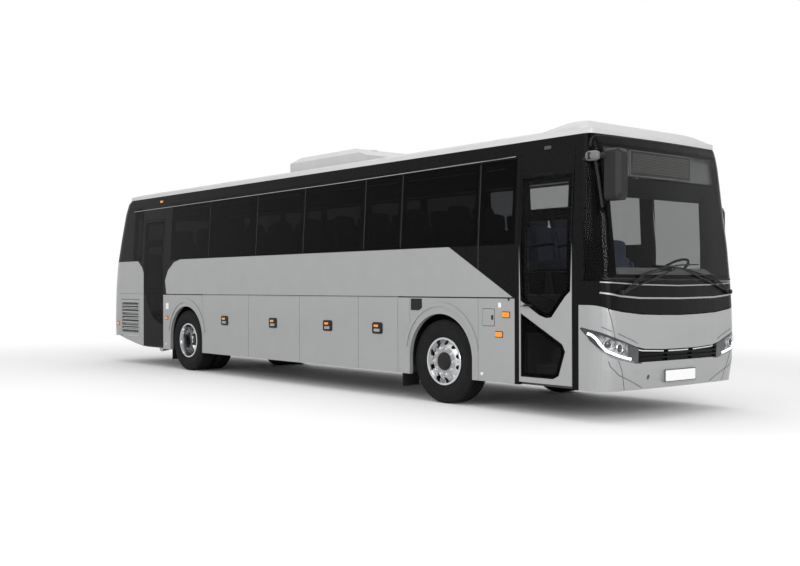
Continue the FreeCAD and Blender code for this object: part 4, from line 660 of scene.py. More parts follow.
class Skin:
    """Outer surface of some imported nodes, on which flat details are laid."""

    def __init__(self, *names: str) -> None:
        """Gather the surface of the nodes of those names.

        Args:
            *names: Nodes that form it.
        """
        verts: list[Vector] = []
        faces: list[list[int]] = []
        for name in names:
            node = frame["nodes"][name]
            base = len(verts)
            verts.extend(node.matrix_world @ v.co for v in node.data.vertices)
            faces.extend([[base + i for i in face.vertices] for face in node.data.polygons])
        self.tree = BVHTree.FromPolygons(verts, faces)

    def at(self, aim: Aim, a: float, b: float) -> tuple[Vector, Vector]:
        """Point of the skin under a drawing point, with its outward direction.

        Args:
            aim: Direction that it is drawn from.
            a: Place on the first drawing axis.
            b: Place on the second.

        Returns:
            The point and its normal.
        """
        place, normal, _, _ = self.tree.ray_cast(aim.start(a, b), -aim.away, 10.0)
        if place is None:
            place, normal, _, _ = self.tree.find_nearest(aim.start(a, b) - aim.away * (10.0 - aim.reach))
        return place, -normal if normal.dot(aim.away) < 0 else normal

    def drape(self, name: str, rows: Sequence[Line], aim: Aim, lift: float, finish: Finish, body: str = BODY,
              flip: bool = False) -> None:
        """Lay a thin piece over the skin.

        Args:
            name: Name of the piece.
            rows: Grid of drawing points.
            aim: Direction that it is drawn from.
            lift: Height of its face above the skin.
            finish: Its surface.
            body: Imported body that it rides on.
            flip: Add its mirror image on the other side.
        """
        hits = [[self.at(aim, a, b) for a, b in row] for row in rows]
        shape = Shape(name).sheet([[p + n * lift for p, n in row] for row in hits],
                                  [[p - n * EDGE_SUNK for p, n in row] for row in hits])
        if flip:
            shape.mirrored()
        shape.done(finish, body)

    def ribbon(self, name: str, path: Line, width: float, aim: Aim, lift: float, finish: Finish,
               body: str = BODY, step: float = 0.03, flip: bool = False) -> None:
        """Lay a narrow band along a line on the skin.

        Args:
            name: Name of the piece.
            path: Its middle line, in drawing points.
            width: Width of the band.
            aim: Direction that it is drawn from.
            lift: Height of its face above the skin.
            finish: Its surface.
            body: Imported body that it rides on.
            step: Distance between its points.
            flip: Add its mirror image on the other side.
        """
        length = sum(math.dist(p, q) for p, q in zip(path[:-1], path[1:]))
        points = resampled(path, max(2, int(length / step) + 1))
        left, right = [], []
        for i, (a, b) in enumerate(points):
            before, after = points[max(i - 1, 0)], points[min(i + 1, len(points) - 1)]
            da, db = after[0] - before[0], after[1] - before[1]
            half = width / 2 / (math.hypot(da, db) or 1.0)
            left.append((a + db * half, b - da * half))
            right.append((a - db * half, b + da * half))
        self.drape(name, [left, right], aim, lift, finish, body, flip)

    def tab(self, name: str, side: Side, place: Flat, half: float, rise: float, corner: float, lift: float,
            finish: Finish, body: str = BODY) -> None:
        """Lay a small plate with rounded corners on the side.

        Args:
            name: Name of the piece.
            side: Side of the coach.
            place: Its middle, as (x, z).
            half: Half length.
            rise: Half height.
            corner: Radius of its corners.
            lift: Height of its face above the skin.
            finish: Its surface.
            body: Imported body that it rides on.
        """
        spot, normal = self.at(ASIDE[side], *place)
        up = normal.cross(X).normalized()
        up = up if up.z > 0 else -up
        foot = spot - normal * FINE_MOVE
        loop = [foot + X * a + up * b for a, b in rounded(half, rise, corner, 4)]
        Shape(name).prism(loop, normal * (lift + FINE_MOVE), 0.03).done(finish, body, bevel=0.0015)


@dataclass(frozen=True)
class Cut:
    """A piece with one section all along its run."""

    name: str
    axis: Axis
    place: float
    run: float
    outline: Line
    finish: Finish
    bevel: float
    draft: float = 0.0
    flip: bool = False

    def build(self) -> None:
        """Make the piece, and its mirror image where it has one."""
        shape = Shape(self.name).slab(self.axis, self.place, self.run, self.outline, self.draft)
        if self.flip:
            shape.mirrored()
        shape.done(self.finish, bevel=self.bevel)


@dataclass
class Studio:
    """Camera, floor, light and plain backdrop."""

    camera_at: Point = (12.2873, -9.9893, 1.4532)
    azimuth: float = 52.6702
    tilt: float = 0.1671
    roll: float = 0.0867
    lens: float = 45.063
    shift_x: float = 0.10
    shift_y: float = 0.0009
    sensor: float = 36.0
    floor_size: float = 80.0
    floor_colour: Colour = (0.92, 0.92, 0.92)
    fade_from: float = 7.0
    fade_to: float = 13.0
    sky_light: float = 0.75

    def build(self) -> None:
        """Make everything that isn't the coach."""
        self.add_camera()
        self.add_floor()
        self.add_world()
        self.add_lamps()
        bpy.context.scene.view_settings.view_transform = "Standard"

    def add_camera(self) -> None:
        """Stand the camera where the picture was taken from."""
        data = bpy.data.cameras.new("camera")
        data.lens, data.sensor_width = self.lens, self.sensor
        data.shift_x, data.shift_y = self.shift_x, self.shift_y
        camera = bpy.data.objects.new("camera", data)
        place = Matrix.Translation(self.camera_at)
        for degrees, axis in ((self.azimuth, "Z"), (90 + self.tilt, "X"), (-self.roll, "Z")):
            place = place @ Matrix.Rotation(math.radians(degrees), 4, axis)
        camera.matrix_world = place
        bpy.context.collection.objects.link(camera)
        bpy.context.scene.camera = camera

    def add_floor(self) -> None:
        """Lay a pale floor that keeps the shadow and, to the eye alone, passes into the backdrop."""
        half = self.floor_size / 2
        mesh = bpy.data.meshes.new("floor")
        corners = [(-half, -half, 0), (half, -half, 0), (half, half, 0), (-half, half, 0)]
        mesh.from_pydata(corners, [], [(0, 1, 2, 3)])
        floor = bpy.data.objects.new("floor", mesh)
        bpy.context.collection.objects.link(floor)
        material = bpy.data.materials.new("studio_floor")
        nodes = Nodes(material)
        shader = nodes.shader
        colour = nodes.ramp(nodes.noise(0.4), self.floor_colour, self.floor_colour)
        nodes.join(colour, shader.inputs["Base Color"])
        shader.inputs["Roughness"].default_value = 0.8
        spot = nodes.add("ShaderNodeNewGeometry").outputs["Position"]
        reach = nodes.add("ShaderNodeVectorMath", spot, operation="LENGTH").outputs["Value"]
        fade = nodes.add("ShaderNodeMapRange", reach, interpolation_type="SMOOTHSTEP",
                         From_Min=self.fade_from, From_Max=self.fade_to).outputs["Result"]
        eye = nodes.add("ShaderNodeLightPath").outputs["Is Camera Ray"]
        seen = nodes.add("ShaderNodeMath", fade, eye, operation="MULTIPLY").outputs[0]
        white = nodes.add("ShaderNodeEmission").outputs[0]
        mix = nodes.add("ShaderNodeMixShader", seen, shader.outputs[0], white).outputs[0]
        nodes.join(mix, nodes.tree.nodes["Material Output"].inputs["Surface"])
        mesh.materials.append(material)

    def add_world(self) -> None:
        """White to the eye and in reflections, soft grey as a lamp."""
        world = bpy.data.worlds.new("studio_world")
        bpy.context.scene.world = world
        nodes = Nodes(world)
        path = nodes.add("ShaderNodeLightPath").outputs
        seen = path["Is Camera Ray"]
        for ray in ("Is Glossy Ray", "Is Transmission Ray"):
            seen = nodes.add("ShaderNodeMath", seen, path[ray], operation="MAXIMUM").outputs[0]
        strength = nodes.add("ShaderNodeMapRange", seen, To_Min=self.sky_light, To_Max=1.0)
        back = nodes.tree.nodes["Background"].inputs
        nodes.join(strength.outputs["Result"], back["Strength"])
        back["Color"].default_value = (1.0, 1.0, 1.0, 1.0)

    def add_lamps(self) -> None:
        """Hang large soft lamps above and beside the coach."""
        for name, place, aim, size, power in (
                ("lamp_top", (0, 0, 11), (0, 0, 0), 12.0, 380.0),
                ("lamp_front", (15, -5, 5), (5, 0, 1.5), 6.0, 650.0),
                ("lamp_side", (2, -14, 7), (0, 0, 1.5), 9.0, 420.0)):
            data = bpy.data.lights.new(name, "AREA")
            data.shape, data.size, data.energy = "DISK", size, power
            lamp = bpy.data.objects.new(name, data)
            lamp.location = place
            lamp.rotation_euler = (Vector(aim) - Vector(place)).to_track_quat("-Z", "Y").to_euler()
            bpy.context.collection.objects.link(lamp)


@dataclass
class Shell:
    """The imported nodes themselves, with their finishes."""

    smooth_angle: float = 30.0
    cab_glass_x: float = 4.55
    left_glass_x: float = 1.5
    side_lining: Flat = (1.232, 1.35)
    door_black_z: float = 1.36
    ceiling_y: float = 1.2

    def build(self) -> None:
        """Give every node its finish, and clear glass to the driver's window and the panes behind it."""
        for finish, names in NODE_FINISHES.items():
            for name in names:
                self.dress(frame["nodes"][name].data, finish)
        self.second_finish("tinted_glass", Look.CLEAR_GLASS, lambda f: f.center.x > self.cab_glass_x or (
            f.center.x > self.left_glass_x and f.center.y > 0))
        self.second_finish("roof", Look.LINING,
                           lambda f: f.normal.z < -0.2 and abs(f.center.y) < self.ceiling_y)
        inner_y, sill_z = self.side_lining
        self.second_finish("side_panels", Look.LINING,
                           lambda f: abs(f.center.y) < inner_y and f.center.z > sill_z)
        self.second_finish("front_door_skin", Look.BLACK, lambda f: f.center.z > self.door_black_z)

    def dress(self, data: bpy.types.Mesh, finish: Finish) -> None:
        """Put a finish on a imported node, with its shallow edges shaded smooth.

        Args:
            data: The node's mesh.
            finish: Its surface.
        """
        data.materials.clear()
        data.materials.append(finish.material())
        data.shade_smooth()
        data.set_sharp_from_angle(angle=math.radians(self.smooth_angle))

    def second_finish(self, name: str, finish: Finish,
                      picks: Callable[[bpy.types.MeshPolygon], bool]) -> None:
        """Give some faces of a node another finish.

        Args:
            name: Node of the frame.
            finish: The other surface.
            picks: Tells from a face whether it takes it.
        """
        data = frame["nodes"][name].data
        data.materials.append(finish.material())
        for face in data.polygons:
            if picks(face):
                face.material_index = 1


@dataclass
class RoadWheel:
    """Tyre and pressed disc wheel of one axle end, or its pair of twins."""

    end: str
    side: Side
    centre_x: float
    disc_y: float
    tyre_ys: tuple[float, ...]
    radius: float = 0.522
    width: float = 0.298
    bead: float = 0.285
    lugs: int = 60
    holes: int = 10
    hole_radius: float = 0.030
    hole_r: float = 0.229
    disc_inner_r: float = 0.1985
    disc_outer_r: float = 0.262
    disc_depth: float = 0.014
    nuts: int = 10
    nut_r: float = 0.165
    valve_r: float = 0.245
    tyre_steps: int = 120
    rim_steps: int = 96
    disc_steps: int = 80
    hub_steps: int = 48
    hole_steps: int = 32

    def __post_init__(self) -> None:
        """Name the body that the wheel's pieces ride on."""
        self.twin = len(self.tyre_ys) > 1
        self.body = f"wheel_{self.end}_{self.side.word}"

    def build(self) -> None:
        """Make the tyres, the wheel and its fixings."""
        self.add_tyres()
        self.add_rim()
        self.add_hub()
        self.add_fixings()

    def at(self, y: float) -> Vector:
        """Point on the wheel's axis at a distance from the middle of the coach."""
        return Vector((self.centre_x, self.side.value * y, self.radius))

    def hoop(self, r: float, lift: float, count: int, start: float = 0.0) -> list[Vector]:
        """Points round the disc at a radius, lifted off its face."""
        return circle(self.at(self.disc_reach(r) + lift), X * r, Z * r, count, start)

    def add_tyres(self) -> None:
        """Turn each tyre with its bead, plain wall, shoulder lugs and tread grooves."""
        crown = self.radius
        right = [(0.108, self.bead), (0.122, 0.289), (0.128, 0.300), (0.126, 0.306), (0.134, 0.325),
                 (0.1445, 0.380), (self.width / 2, 0.415), (0.1475, 0.445), (0.1465, 0.447), (0.1465, 0.452),
                 (0.1440, 0.455), (0.138, 0.485), (0.133, 0.500), (0.128, 0.510), (0.118, 0.517),
                 (0.104, 0.5195)]
        for groove in (0.072, 0.024):
            right += [(groove + 0.006, crown - 0.001), (groove + 0.004, crown - 0.015),
                      (groove - 0.004, crown - 0.015), (groove - 0.006, crown - 0.0005)]
        shape = Shape("tyre_" + self.body)
        for y in self.tyre_ys:
            shape.turned([*right, *((-y, r) for y, r in reversed(right))], self.at(y), self.tyre_steps,
                         closed=False)
            self.add_lugs(shape, self.at(y))
        tyre = shape.done(Look.TYRE, self.body, angle=28.0)
        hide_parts(f"{'tyres' if self.twin else 'tyre'}_{self.end}_{self.side.word}")

    def add_lugs(self, shape: Shape, centre: Vector) -> None:
        """Put raised shoulder lugs round the tread's edges.

        Args:
            shape: Tyre under way.
            centre: Its middle.
        """
        for i in range(self.lugs):
            first, last = (circle(Vector(), X, Z, self.lugs, start)[i] for start in (-0.36, 0.36))
            for edge in (-1, 1):
                shape.loft([[centre + arm * reach + Y * edge * span
                             for arm, span in ((first, near), (last, near), (last, far), (first, far))]
                            for reach, near, far in ((0.5125, 0.094, 0.1272), (0.5214, 0.096, 0.1175))])

    def add_rim(self) -> None:
        """Turn the well and lay the dished disc with its round hand holes."""
        shape = Shape("wheel_" + self.body)
        outer = [(-0.138, 0.273), (-0.138, 0.296), (-0.134, 0.299), (-0.128, 0.299), (-0.125, 0.288),
                 (-0.10, 0.284), (-0.05, 0.262)]
        inner = [(0.12, 0.268), (0.06, 0.250)]
        lip = [*outer, *((-y, r) for y, r in reversed(outer)), *inner, *((-y, r) for y, r in reversed(inner))]
        for y in self.tyre_ys:
            shape.turned(lip, self.at(y), self.rim_steps)
        self.add_disc(shape)
        rim = shape.done(Look.WHEEL, self.body, angle=32.0)
        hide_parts(f"rim_{self.end}_{self.side.word}")

    def add_hub(self) -> None:
        """Turn the hub, which stands out on a twin wheel and ends in a flat cap on a single one."""
        if self.twin:
            marks = [(-0.03, 0.001), (-0.03, 0.125), (0.075, 0.120), (0.125, 0.112), (0.150, 0.098),
                     (0.155, 0.085), (0.150, 0.070), (0.150, 0.001)]
        else:
            marks = [(-0.14, 0.001), (-0.14, 0.114), (0.006, 0.114), (0.010, 0.111), (0.020, 0.106),
                     (0.026, 0.094), (0.028, 0.080), (0.028, 0.001)]
        profile = [(self.side.value * (self.disc_y + y), r) for y, r in marks]
        Shape("hub_" + self.body).turned(profile, self.at(0.0), self.hub_steps, closed=False).done(
            Look.PLASTIC, self.body, angle=40.0)

    def disc_reach(self, r: float) -> float:
        """Outward place of the disc's face at a radius.

        Args:
            r: The radius.

        Returns:
            The distance from the middle of the coach.
        """
        marks = ((0.113, 0.0), (0.188, 0.0), (0.192, -0.002), (0.198, -0.010), (0.235, -0.034),
                 (0.262, -0.062), (0.263, -0.063))
        if self.twin:
            marks = ((0.113, 0.0), (0.186, 0.0), (0.197, 0.008), (0.262, 0.085), (0.263, 0.086))
        for (r0, y0), (r1, y1) in zip(marks[:-1], marks[1:]):
            if r <= r1:
                return self.disc_y + y0 + (y1 - y0) * (r - r0) / (r1 - r0)
        return self.disc_y + marks[-1][1]

    def add_disc(self, shape: Shape) -> None:
        """Lay the disc in rings and in equal sectors, each with a hand hole, as an outer and an inner skin.

        Args:
            shape: Wheel under way.
        """
        for r0, r1 in ((0.113, 0.150), (0.150, 0.188), (0.188, 0.192), (0.192, self.disc_inner_r)):
            for depth in (0.0, self.disc_depth):
                shape.loft([self.hoop(r, -depth, self.disc_steps, 0.5) for r in (r0, r1)], caps=False)
        for k in range(self.holes):
            skins = []
            for depth in (0.0, self.disc_depth):
                skins.append([self.hole_loop(k + 0.5, share, depth) for share in (0.0, 0.12, 0.5, 1.0)])
                shape.loft(skins[-1], caps=False)
            shape.loft([skins[0][0], skins[1][0]], caps=False)
        bmesh.ops.remove_doubles(shape.mesh, verts=shape.mesh.verts[:], dist=0.0004)

    def hole_loop(self, number: float, share: float, depth: float) -> list[Vector]:
        """Loop round a hand hole.

        Args:
            number: Sectors from the first one's start to the hole's middle.
            share: Way from the hole's edge, at 0, to the sector's edge, at 1.
            depth: Depth under the disc's face.

        Returns:
            Its points.
        """
        sector = 2 * math.pi / self.holes
        drop = depth + (0.003 if share == depth == 0.0 else 0.0)
        loop = []
        for j in range(self.hole_steps):
            angle = 2 * math.pi * j / self.hole_steps
            u, v = math.cos(angle), math.sin(angle)
            reach = []
            if abs(u) > 1e-6:
                reach.append(((self.disc_outer_r if u > 0 else self.disc_inner_r) - self.hole_r) / u)
            if abs(v) > 1e-6:
                reach.append(sector * self.hole_r / 2 / abs(v))
            run = self.hole_radius + (min(reach) - self.hole_radius) * share
            r, turn = self.hole_r + run * u, sector * number + run * v / self.hole_r
            loop.append(self.at(self.disc_reach(r) - drop) + (X * math.cos(turn) + Z * math.sin(turn)) * r)
        return loop

    def add_fixings(self) -> None:
        """Bolt the wheel on with hexagon nuts and washers on a darker band of painted shade, and add the
        valve.
        """
        out = Y * self.side.value
        shape = Shape("nuts_" + self.body)
        for spot in circle(self.at(self.disc_y), X * self.nut_r, Z * self.nut_r, self.nuts):
            for radius, sides, y0, y1, draft in ((0.021, 16, -0.002, 0.005, 0.05),
                                                 (0.017, 6, 0.004, 0.024, 0.1),
                                                 (0.009, 10, 0.023, 0.033, 0.2)):
                shape.prism(circle(spot + out * y0, X * radius, Z * radius, sides), out * (y1 - y0), draft)
        shape.done(Look.CHROME, self.body, bevel=0.0015)
        # The darker satin band under the nuts paints the shade round them.
        band = [self.hoop(r, lift, 64) for r, lift in ((0.1135, -0.003), (0.1135, 0.0012), (0.1875, 0.0012),
                                                       (0.1875, -0.003))]
        Shape("nut_band_" + self.body).loft(band, wrap=True).done(Look.TRIM, self.body)
        base = self.at(self.disc_reach(self.valve_r) - 0.01) + X * self.valve_r
        path = [base, base - X * 0.01 + out * 0.03, base - X * 0.035 + out * 0.05]
        Shape("valve_" + self.body).tube(path, 0.004, 8).done(Look.STEEL, self.body)


@dataclass
class Seats:
    """Passenger seats in pairs, and the driver's seat, as stuffed pieces."""

    rows: int = 12
    pitch: float = 0.77
    first_x: float = 3.95
    deck: float = 1.345
    inner_y: float = 0.31
    width: float = 0.87
    door_row_x: float = -3.16
    driver_x: float = 5.115
    driver_y: float = 0.62
    platform: float = 0.91
    cushion_top: float = 0.45

    def build(self) -> None:
        """Make the cushions, backs and frames of every seat."""
        soft, frames = Shape("seat_cushions"), Shape("seat_frames")
        for i in range(self.rows):
            x = self.first_x - i * self.pitch
            for side in [1] if x <= self.door_row_x else [1, -1]:
                for share in (0.25, 0.75):
                    y = side * (self.inner_y + self.width * share)
                    self.add_seat(soft, Vector((x, y, self.deck)), self.width / 4 - 0.012)
                self.add_stand(frames, x, side)
        self.add_seat(soft, Vector((self.driver_x, self.driver_y, self.platform)), self.width / 4)
        box = Vector((self.driver_x - 0.22, self.driver_y, self.platform))
        for low, half, rise in ((0.0, 0.19, 0.04), (0.04, 0.14, 0.2), (0.24, 0.18, 0.07)):
            frames.box(box + Vector((-half, -half, low)), box + Vector((half, half, low + rise)))
        cushions = soft.done(Look.CLOTH, angle=60.0)
        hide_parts("seats")
        frames.done(Look.PLASTIC, bevel=0.004)

    def add_seat(self, shape: Shape, foot: Vector, half: float) -> None:
        """Add a cushion, a leaning back with side bolsters and a headrest.

        Args:
            shape: Mesh that takes them.
            foot: Point of the floor under the middle of the cushion's front edge.
            half: Half of its width.
        """
        top = foot + Z * self.cushion_top
        for low, size, corner, crown, lean, cuts in (
                ((-0.44, -half, -0.13), (0.435, 2 * half, 0.13), 0.045, 0.016, 0.0, 5),
                ((-0.545, -half, -0.04), (0.105, 2 * half, 0.50), 0.04, 0.014, 0.19, 5),
                ((-0.640, -half * 0.82, 0.45), (0.095, 1.64 * half, 0.215), 0.04, 0.012, 0.12, 5),
                ((-0.52, 0.002 - half, 0.0), (0.12, 0.056, 0.40), 0.026, 0.004, 0.19, 3),
                ((-0.52, half - 0.058, 0.0), (0.12, 0.056, 0.40), 0.026, 0.004, 0.19, 3)):
            shape.pillow(top + Vector(low), Vector(size), corner, crown, lean, cuts)

    def add_stand(self, shape: Shape, x: float, side: int) -> None:
        """Add the legs, seat pan, armrests and grab handle of a pair of seats.

        Args:
            shape: Mesh that takes them.
            x: Front edge of the cushions.
            side: Sign of Y of the pair.
        """
        y0, span = self.inner_y + 0.01, self.width - 0.02
        low = Vector((x, min(side * y0, side * (y0 + span)), self.deck))
        shape.box(low + Vector((-0.42, 0, 0.30)), low + Vector((-0.03, span, 0.335)))
        leg = [(x + a, self.deck + b) for a, b in ((-0.32, 0), (-0.12, 0), (-0.06, 0.31), (-0.38, 0.31))]
        for share in (0.25, 0.75):
            shape.slab(Axis.Y, low.y + span * share - 0.025, 0.05, leg)
        for y in (y0, y0 + span / 2):
            path = [Vector((x + a, side * y, self.deck + b))
                    for a, b in ((-0.56, 0.62), (-0.30, 0.66), (-0.16, 0.655))]
            shape.tube(path, 0.022, 8)
        grab = Vector((x, side * (y0 + 0.03), self.deck))
        ends = ((-0.65, -0.06, 1.06), (-0.665, 0, 1.095), (-0.65, 0.06, 1.06))
        shape.tube([grab + Vector(p) for p in ends], 0.011, 8)


@dataclass
class Cabin:
    """Dash, racks, ceiling strips and the blank sign behind the glass."""

    cuts: tuple[Cut, ...] = (
        Cut("instrument_hood", Axis.Y, 0.38, 0.48,
            ((5.40, 1.485), (5.42, 1.56), (5.50, 1.585), (5.58, 1.56), (5.60, 1.478)), Look.PLASTIC, 0.012),
        Cut("dial_glass", Axis.X, 5.400, -0.006, ((0.42, 1.495), (0.82, 1.495), (0.80, 1.548), (0.44, 1.548)),
            Look.LAMP_GLASS, 0.002),
        Cut("centre_pod", Axis.Y, -0.02, 0.22,
            ((5.44, 1.485), (5.45, 1.66), (5.50, 1.70), (5.60, 1.68), (5.62, 1.478)), Look.PLASTIC, 0.014,
            0.06),
        Cut("dash_cowl", Axis.Y, -0.86, 1.80,
            ((5.705, 1.49), (5.66, 1.565), (5.60, 1.63), (5.55, 1.66), (5.52, 1.66), (5.52, 1.49)), Look.DASH,
            0.01, 0.02),
        Cut("screen_header", Axis.Y, -1.14, 2.28, ((5.50, 2.67), (5.545, 2.67), (5.475, 3.06), (5.44, 3.06)),
            Look.DASH, 0.006),
        Cut("sun_shade", Axis.Y, -1.05, 2.1, ((5.50, 2.44), (5.50, 2.66), (5.495, 2.66), (5.495, 2.44)),
            Look.PLASTIC, 0.001),
        Cut("luggage_racks", Axis.X, -5.1, 9.2,
            ((1.14, 2.86), (0.78, 2.88), (0.70, 2.91), (0.68, 2.96), (0.71, 2.965), (0.80, 2.92),
             (1.13, 2.90)),
            Look.LINING, 0.006, flip=True),
        Cut("reading_strips", Axis.X, -5.05, 9.1,
            ((0.86, 2.872), (0.94, 2.868), (0.94, 2.860), (0.86, 2.862)),
            Look.PLATE, 0.002, flip=True))
    dot_pitch: Flat = (0.0162, 0.0180)
    dot_counts: tuple[int, int] = (66, 12)
    dot_side: float = 0.009
    first_dot: Flat = (-0.53, 2.715)
    keys: int = 8
    key_pitch: float = 0.075
    pad_at: Point = (5.3, 0.62, 1.64)
    pad_lean: float = 35.0

    def build(self) -> None:
        """Furnish the inside."""
        for cut in self.cuts:
            cut.build()
        keys = Shape("dash_switches")
        for i in range(self.keys):
            y = 0.30 + i * self.key_pitch
            keys.box((5.318, y, 1.40), (5.334, y + 0.05, 1.425))
        keys.done(Look.PLASTIC, bevel=0.003)
        shelf = ((5.36, -1.10, 1.4895), (5.36, 1.17, 1.4895), (5.66, 1.05, 1.478), (5.66, -1.0, 1.478))
        Shape("dash_shelf").prism([Vector(p) for p in shelf], Z * 0.012).done(Look.DASH, bevel=0.005)
        self.add_sign()
        self.add_steering_pad()

    def add_sign(self) -> None:
        """Blank dot panel of the destination sign."""
        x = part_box("destination_sign")[1][0]
        Cut("sign_panel", Axis.X, x, 0.004, ((-0.57, 2.682), (0.57, 2.682), (0.57, 2.948), (-0.57, 2.948)),
            Look.CREASE, 0.002, 0.004).build()
        dots = Shape("sign_dots")
        for i in range(self.dot_counts[0]):
            for j in range(self.dot_counts[1]):
                y, z = (first + k * pitch for first, k, pitch in zip(self.first_dot, (i, j), self.dot_pitch))
                foot = Vector((x + 0.0035, y, z))
                dots.bar(foot, Y * self.dot_side, Z * self.dot_side, X * 0.003, 0.25)
        dots.done(Look.DOT)

    def add_steering_pad(self) -> None:
        """Hub pad of the steering wheel, square to its column."""
        lean = math.radians(self.pad_lean)
        up = Z * math.cos(lean) - X * math.sin(lean)
        flat = X * math.cos(lean) + Z * math.sin(lean)
        loop = circle(Vector(self.pad_at) + up * 0.008, flat * 0.062, Y * 0.075, 20)
        pad = Shape("steering_pad").prism(loop, up * 0.018, 0.25)
        pad.done(Look.PLASTIC, "steering_wheel", bevel=0.004)


@dataclass
class FrontFace:
    """Trim, lamps, wipers, plates and mirrors of the front end."""

    skin: Skin = field(default_factory=lambda: Skin("front_mask", "front_flap", "headlamps",
                                                    "screen_surround", "windscreen", "front_grille"))
    lenses: tuple[tuple[Flat, float], ...] = (((3.215, 0.838), 0.044), ((3.345, 0.795), 0.052))
    mesh_half: float = 0.72
    mesh_bars: int = 73
    mesh_zs: Flat = (0.64, 0.742)
    mesh_sunk: float = 0.022
    bar_width: float = 0.004

    def build(self) -> None:
        """Dress the front."""
        self.add_lines()
        self.add_headlamps()
        self.add_intake_mesh()
        self.add_plates()
        self.add_wipers()
        self.add_mirrors()

    def add_lines(self) -> None:
        """Belt and intake trim, windscreen rubber, painted shade along the mask's creases, and the bumper
        seam.
        """
        for name, half, width, lift, finish in (
                ("belt_line_upper", ((-1.236, 1.497), (-1.10, 1.489), (-0.70, 1.470), (0.0, 1.459)),
                 0.012, 0.003, Look.TRIM),
                ("belt_line_lower", ((-1.24, 1.385), (-1.04, 1.348), (-0.71, 1.325), (0.0, 1.317)),
                 0.018, 0.003, Look.TRIM),
                ("intake_trim", ((-0.745, 0.772), (-0.66, 0.756), (-0.30, 0.741), (0.0, 0.738)),
                 0.012, 0.004, Look.CHROME),
                ("screen_top_rubber",
                 ((-1.195, 2.96), (-1.185, 3.03), (-1.14, 3.072), (-1.0, 3.084), (0.0, 3.084)),
                 0.012, 0.003, Look.RUBBER),
                ("screen_foot_rubber", ((-1.22, 1.535), (0.0, 1.525)), 0.016, 0.004, Look.RUBBER)):
            self.skin.ribbon(name, both_ways(half), width, FRONT, lift, finish)
        # Dark strips of painted shade along the pressed creases of the mask and flap; the bumper seam is
        # rubber.
        for name, path, width, lift, finish, body in (
                ("lamp_crease", ((-1.236, 1.022), (-1.155, 0.972)), 0.010, 0.002, Look.CREASE, BODY),
                ("lamp_crease_flap", ((-1.085, 0.951), (-0.974, 0.915), (-0.829, 0.866), (-0.775, 0.838)),
                 0.010, 0.002, Look.CREASE, "front_flap"),
                ("bumper_crease",
                 ((-1.186, 0.662), (-1.165, 0.60), (-1.064, 0.513), (-0.946, 0.472), (-0.769, 0.405),
                  (-0.655, 0.355)), 0.010, 0.002, Look.CREASE, BODY),
                ("bumper_seam", ((-1.075, 0.668), (-1.012, 0.554), (-0.935, 0.345)), 0.007, 0.0008,
                 Look.RUBBER, BODY)):
            self.skin.ribbon(name, path, width, FRONT, lift, finish, body, flip=True)

    def add_headlamps(self) -> None:
        """Reflector bowl, daytime strip, rim and lenses of each headlamp."""
        low = resampled(((3.095, 0.912), (3.16, 0.800), (3.25, 0.752), (3.345, 0.722), (3.440, 0.704)), 18)
        high = resampled(((3.105, 0.945), (3.18, 0.928), (3.27, 0.893), (3.36, 0.862), (3.440, 0.838)), 18)
        bowl = [[between(p, q, share) for p, q in zip(low, high)] for share in along(0.0, 1.0, 7)]
        strip = ((3.020, 0.952), (3.062, 0.935), (3.105, 0.895), (3.143, 0.838), (3.201, 0.772),
                 (3.309, 0.726), (3.420, 0.690), (3.485, 0.674))
        rim = ((3.005, 0.930), (3.040, 0.868), (3.120, 0.793), (3.225, 0.722), (3.345, 0.684), (3.450, 0.657),
               (3.520, 0.642))
        for side, aim in CORNERS.items():
            self.skin.drape("lamp_bowl_" + side.word, bowl, aim, 0.0025, Look.LAMP_BOWL)
            self.skin.ribbon("daytime_strip_" + side.word, strip, 0.028, aim, 0.006, Look.LED, step=0.015)
            self.skin.ribbon("lamp_rim_" + side.word, rim, 0.008, aim, 0.004, Look.TRIM, step=0.02)
            for spot, radius in self.lenses:
                self.add_lens(side, spot, radius)

    def add_lens(self, side: Side, spot: Flat, radius: float) -> None:
        """Put a ringed round lens on a headlamp.

        Args:
            side: Side of the coach.
            spot: Its middle, as a place along the diagonal and a height.
            radius: Outer radius of the ring.
        """
        centre, normal = self.skin.at(CORNERS[side], *spot)
        first = normal.cross(Z).normalized()
        for kind, finish, marks in (
                ("ring", Look.CHROME,
                 ((1.0, -0.004), (1.0, 0.006), (0.93, 0.009), (0.84, 0.006), (0.80, -0.004))),
                ("dome", Look.LAMP_GLASS,
                 ((0.80, -0.002), (0.76, 0.006), (0.5, 0.012), (0.2, 0.0145), (0.02, 0.015)))):
            circles = [(radius * share, lift) for share, lift in marks]
            lens = Shape(f"lens_{kind}_{int(spot[0] * 1000)}_{side.word}")
            lens.rings(centre, normal, first, circles, 28).done(finish, angle=50.0)

    def add_intake_mesh(self) -> None:
        """Fine upright bars of the intake."""
        lattice = Shape("intake_mesh")
        side = Y * self.bar_width
        for y in along(-self.mesh_half, self.mesh_half, self.mesh_bars):
            foot, head = (self.skin.at(FRONT, y, z)[0] - X * self.mesh_sunk for z in self.mesh_zs)
            lattice.prism([foot, foot + side, head + side, head], X * 0.008)
        lattice.done(Look.PLASTIC)

    def add_plates(self) -> None:
        """Blank number plates in thin black frames, front and rear."""
        for end, face, z, body, reach in (("front", 5.826, 0.465, BODY, 1.0),
                                          ("rear", -5.997, 0.945, "engine_lid", -0.6)):
            for kind, finish, half, rise, lift in (("frame", Look.RUBBER, 0.298, 0.066, 0.006),
                                                   ("blank", Look.PLATE, 0.288, 0.060, 0.008)):
                outline = [(a, z + b) for a, b in rounded(half, rise, 0.01, 3)]
                plate = Shape(f"plate_{kind}_{end}").slab(Axis.X, face, lift * reach, outline)
                plate.done(finish, body, bevel=0.001)

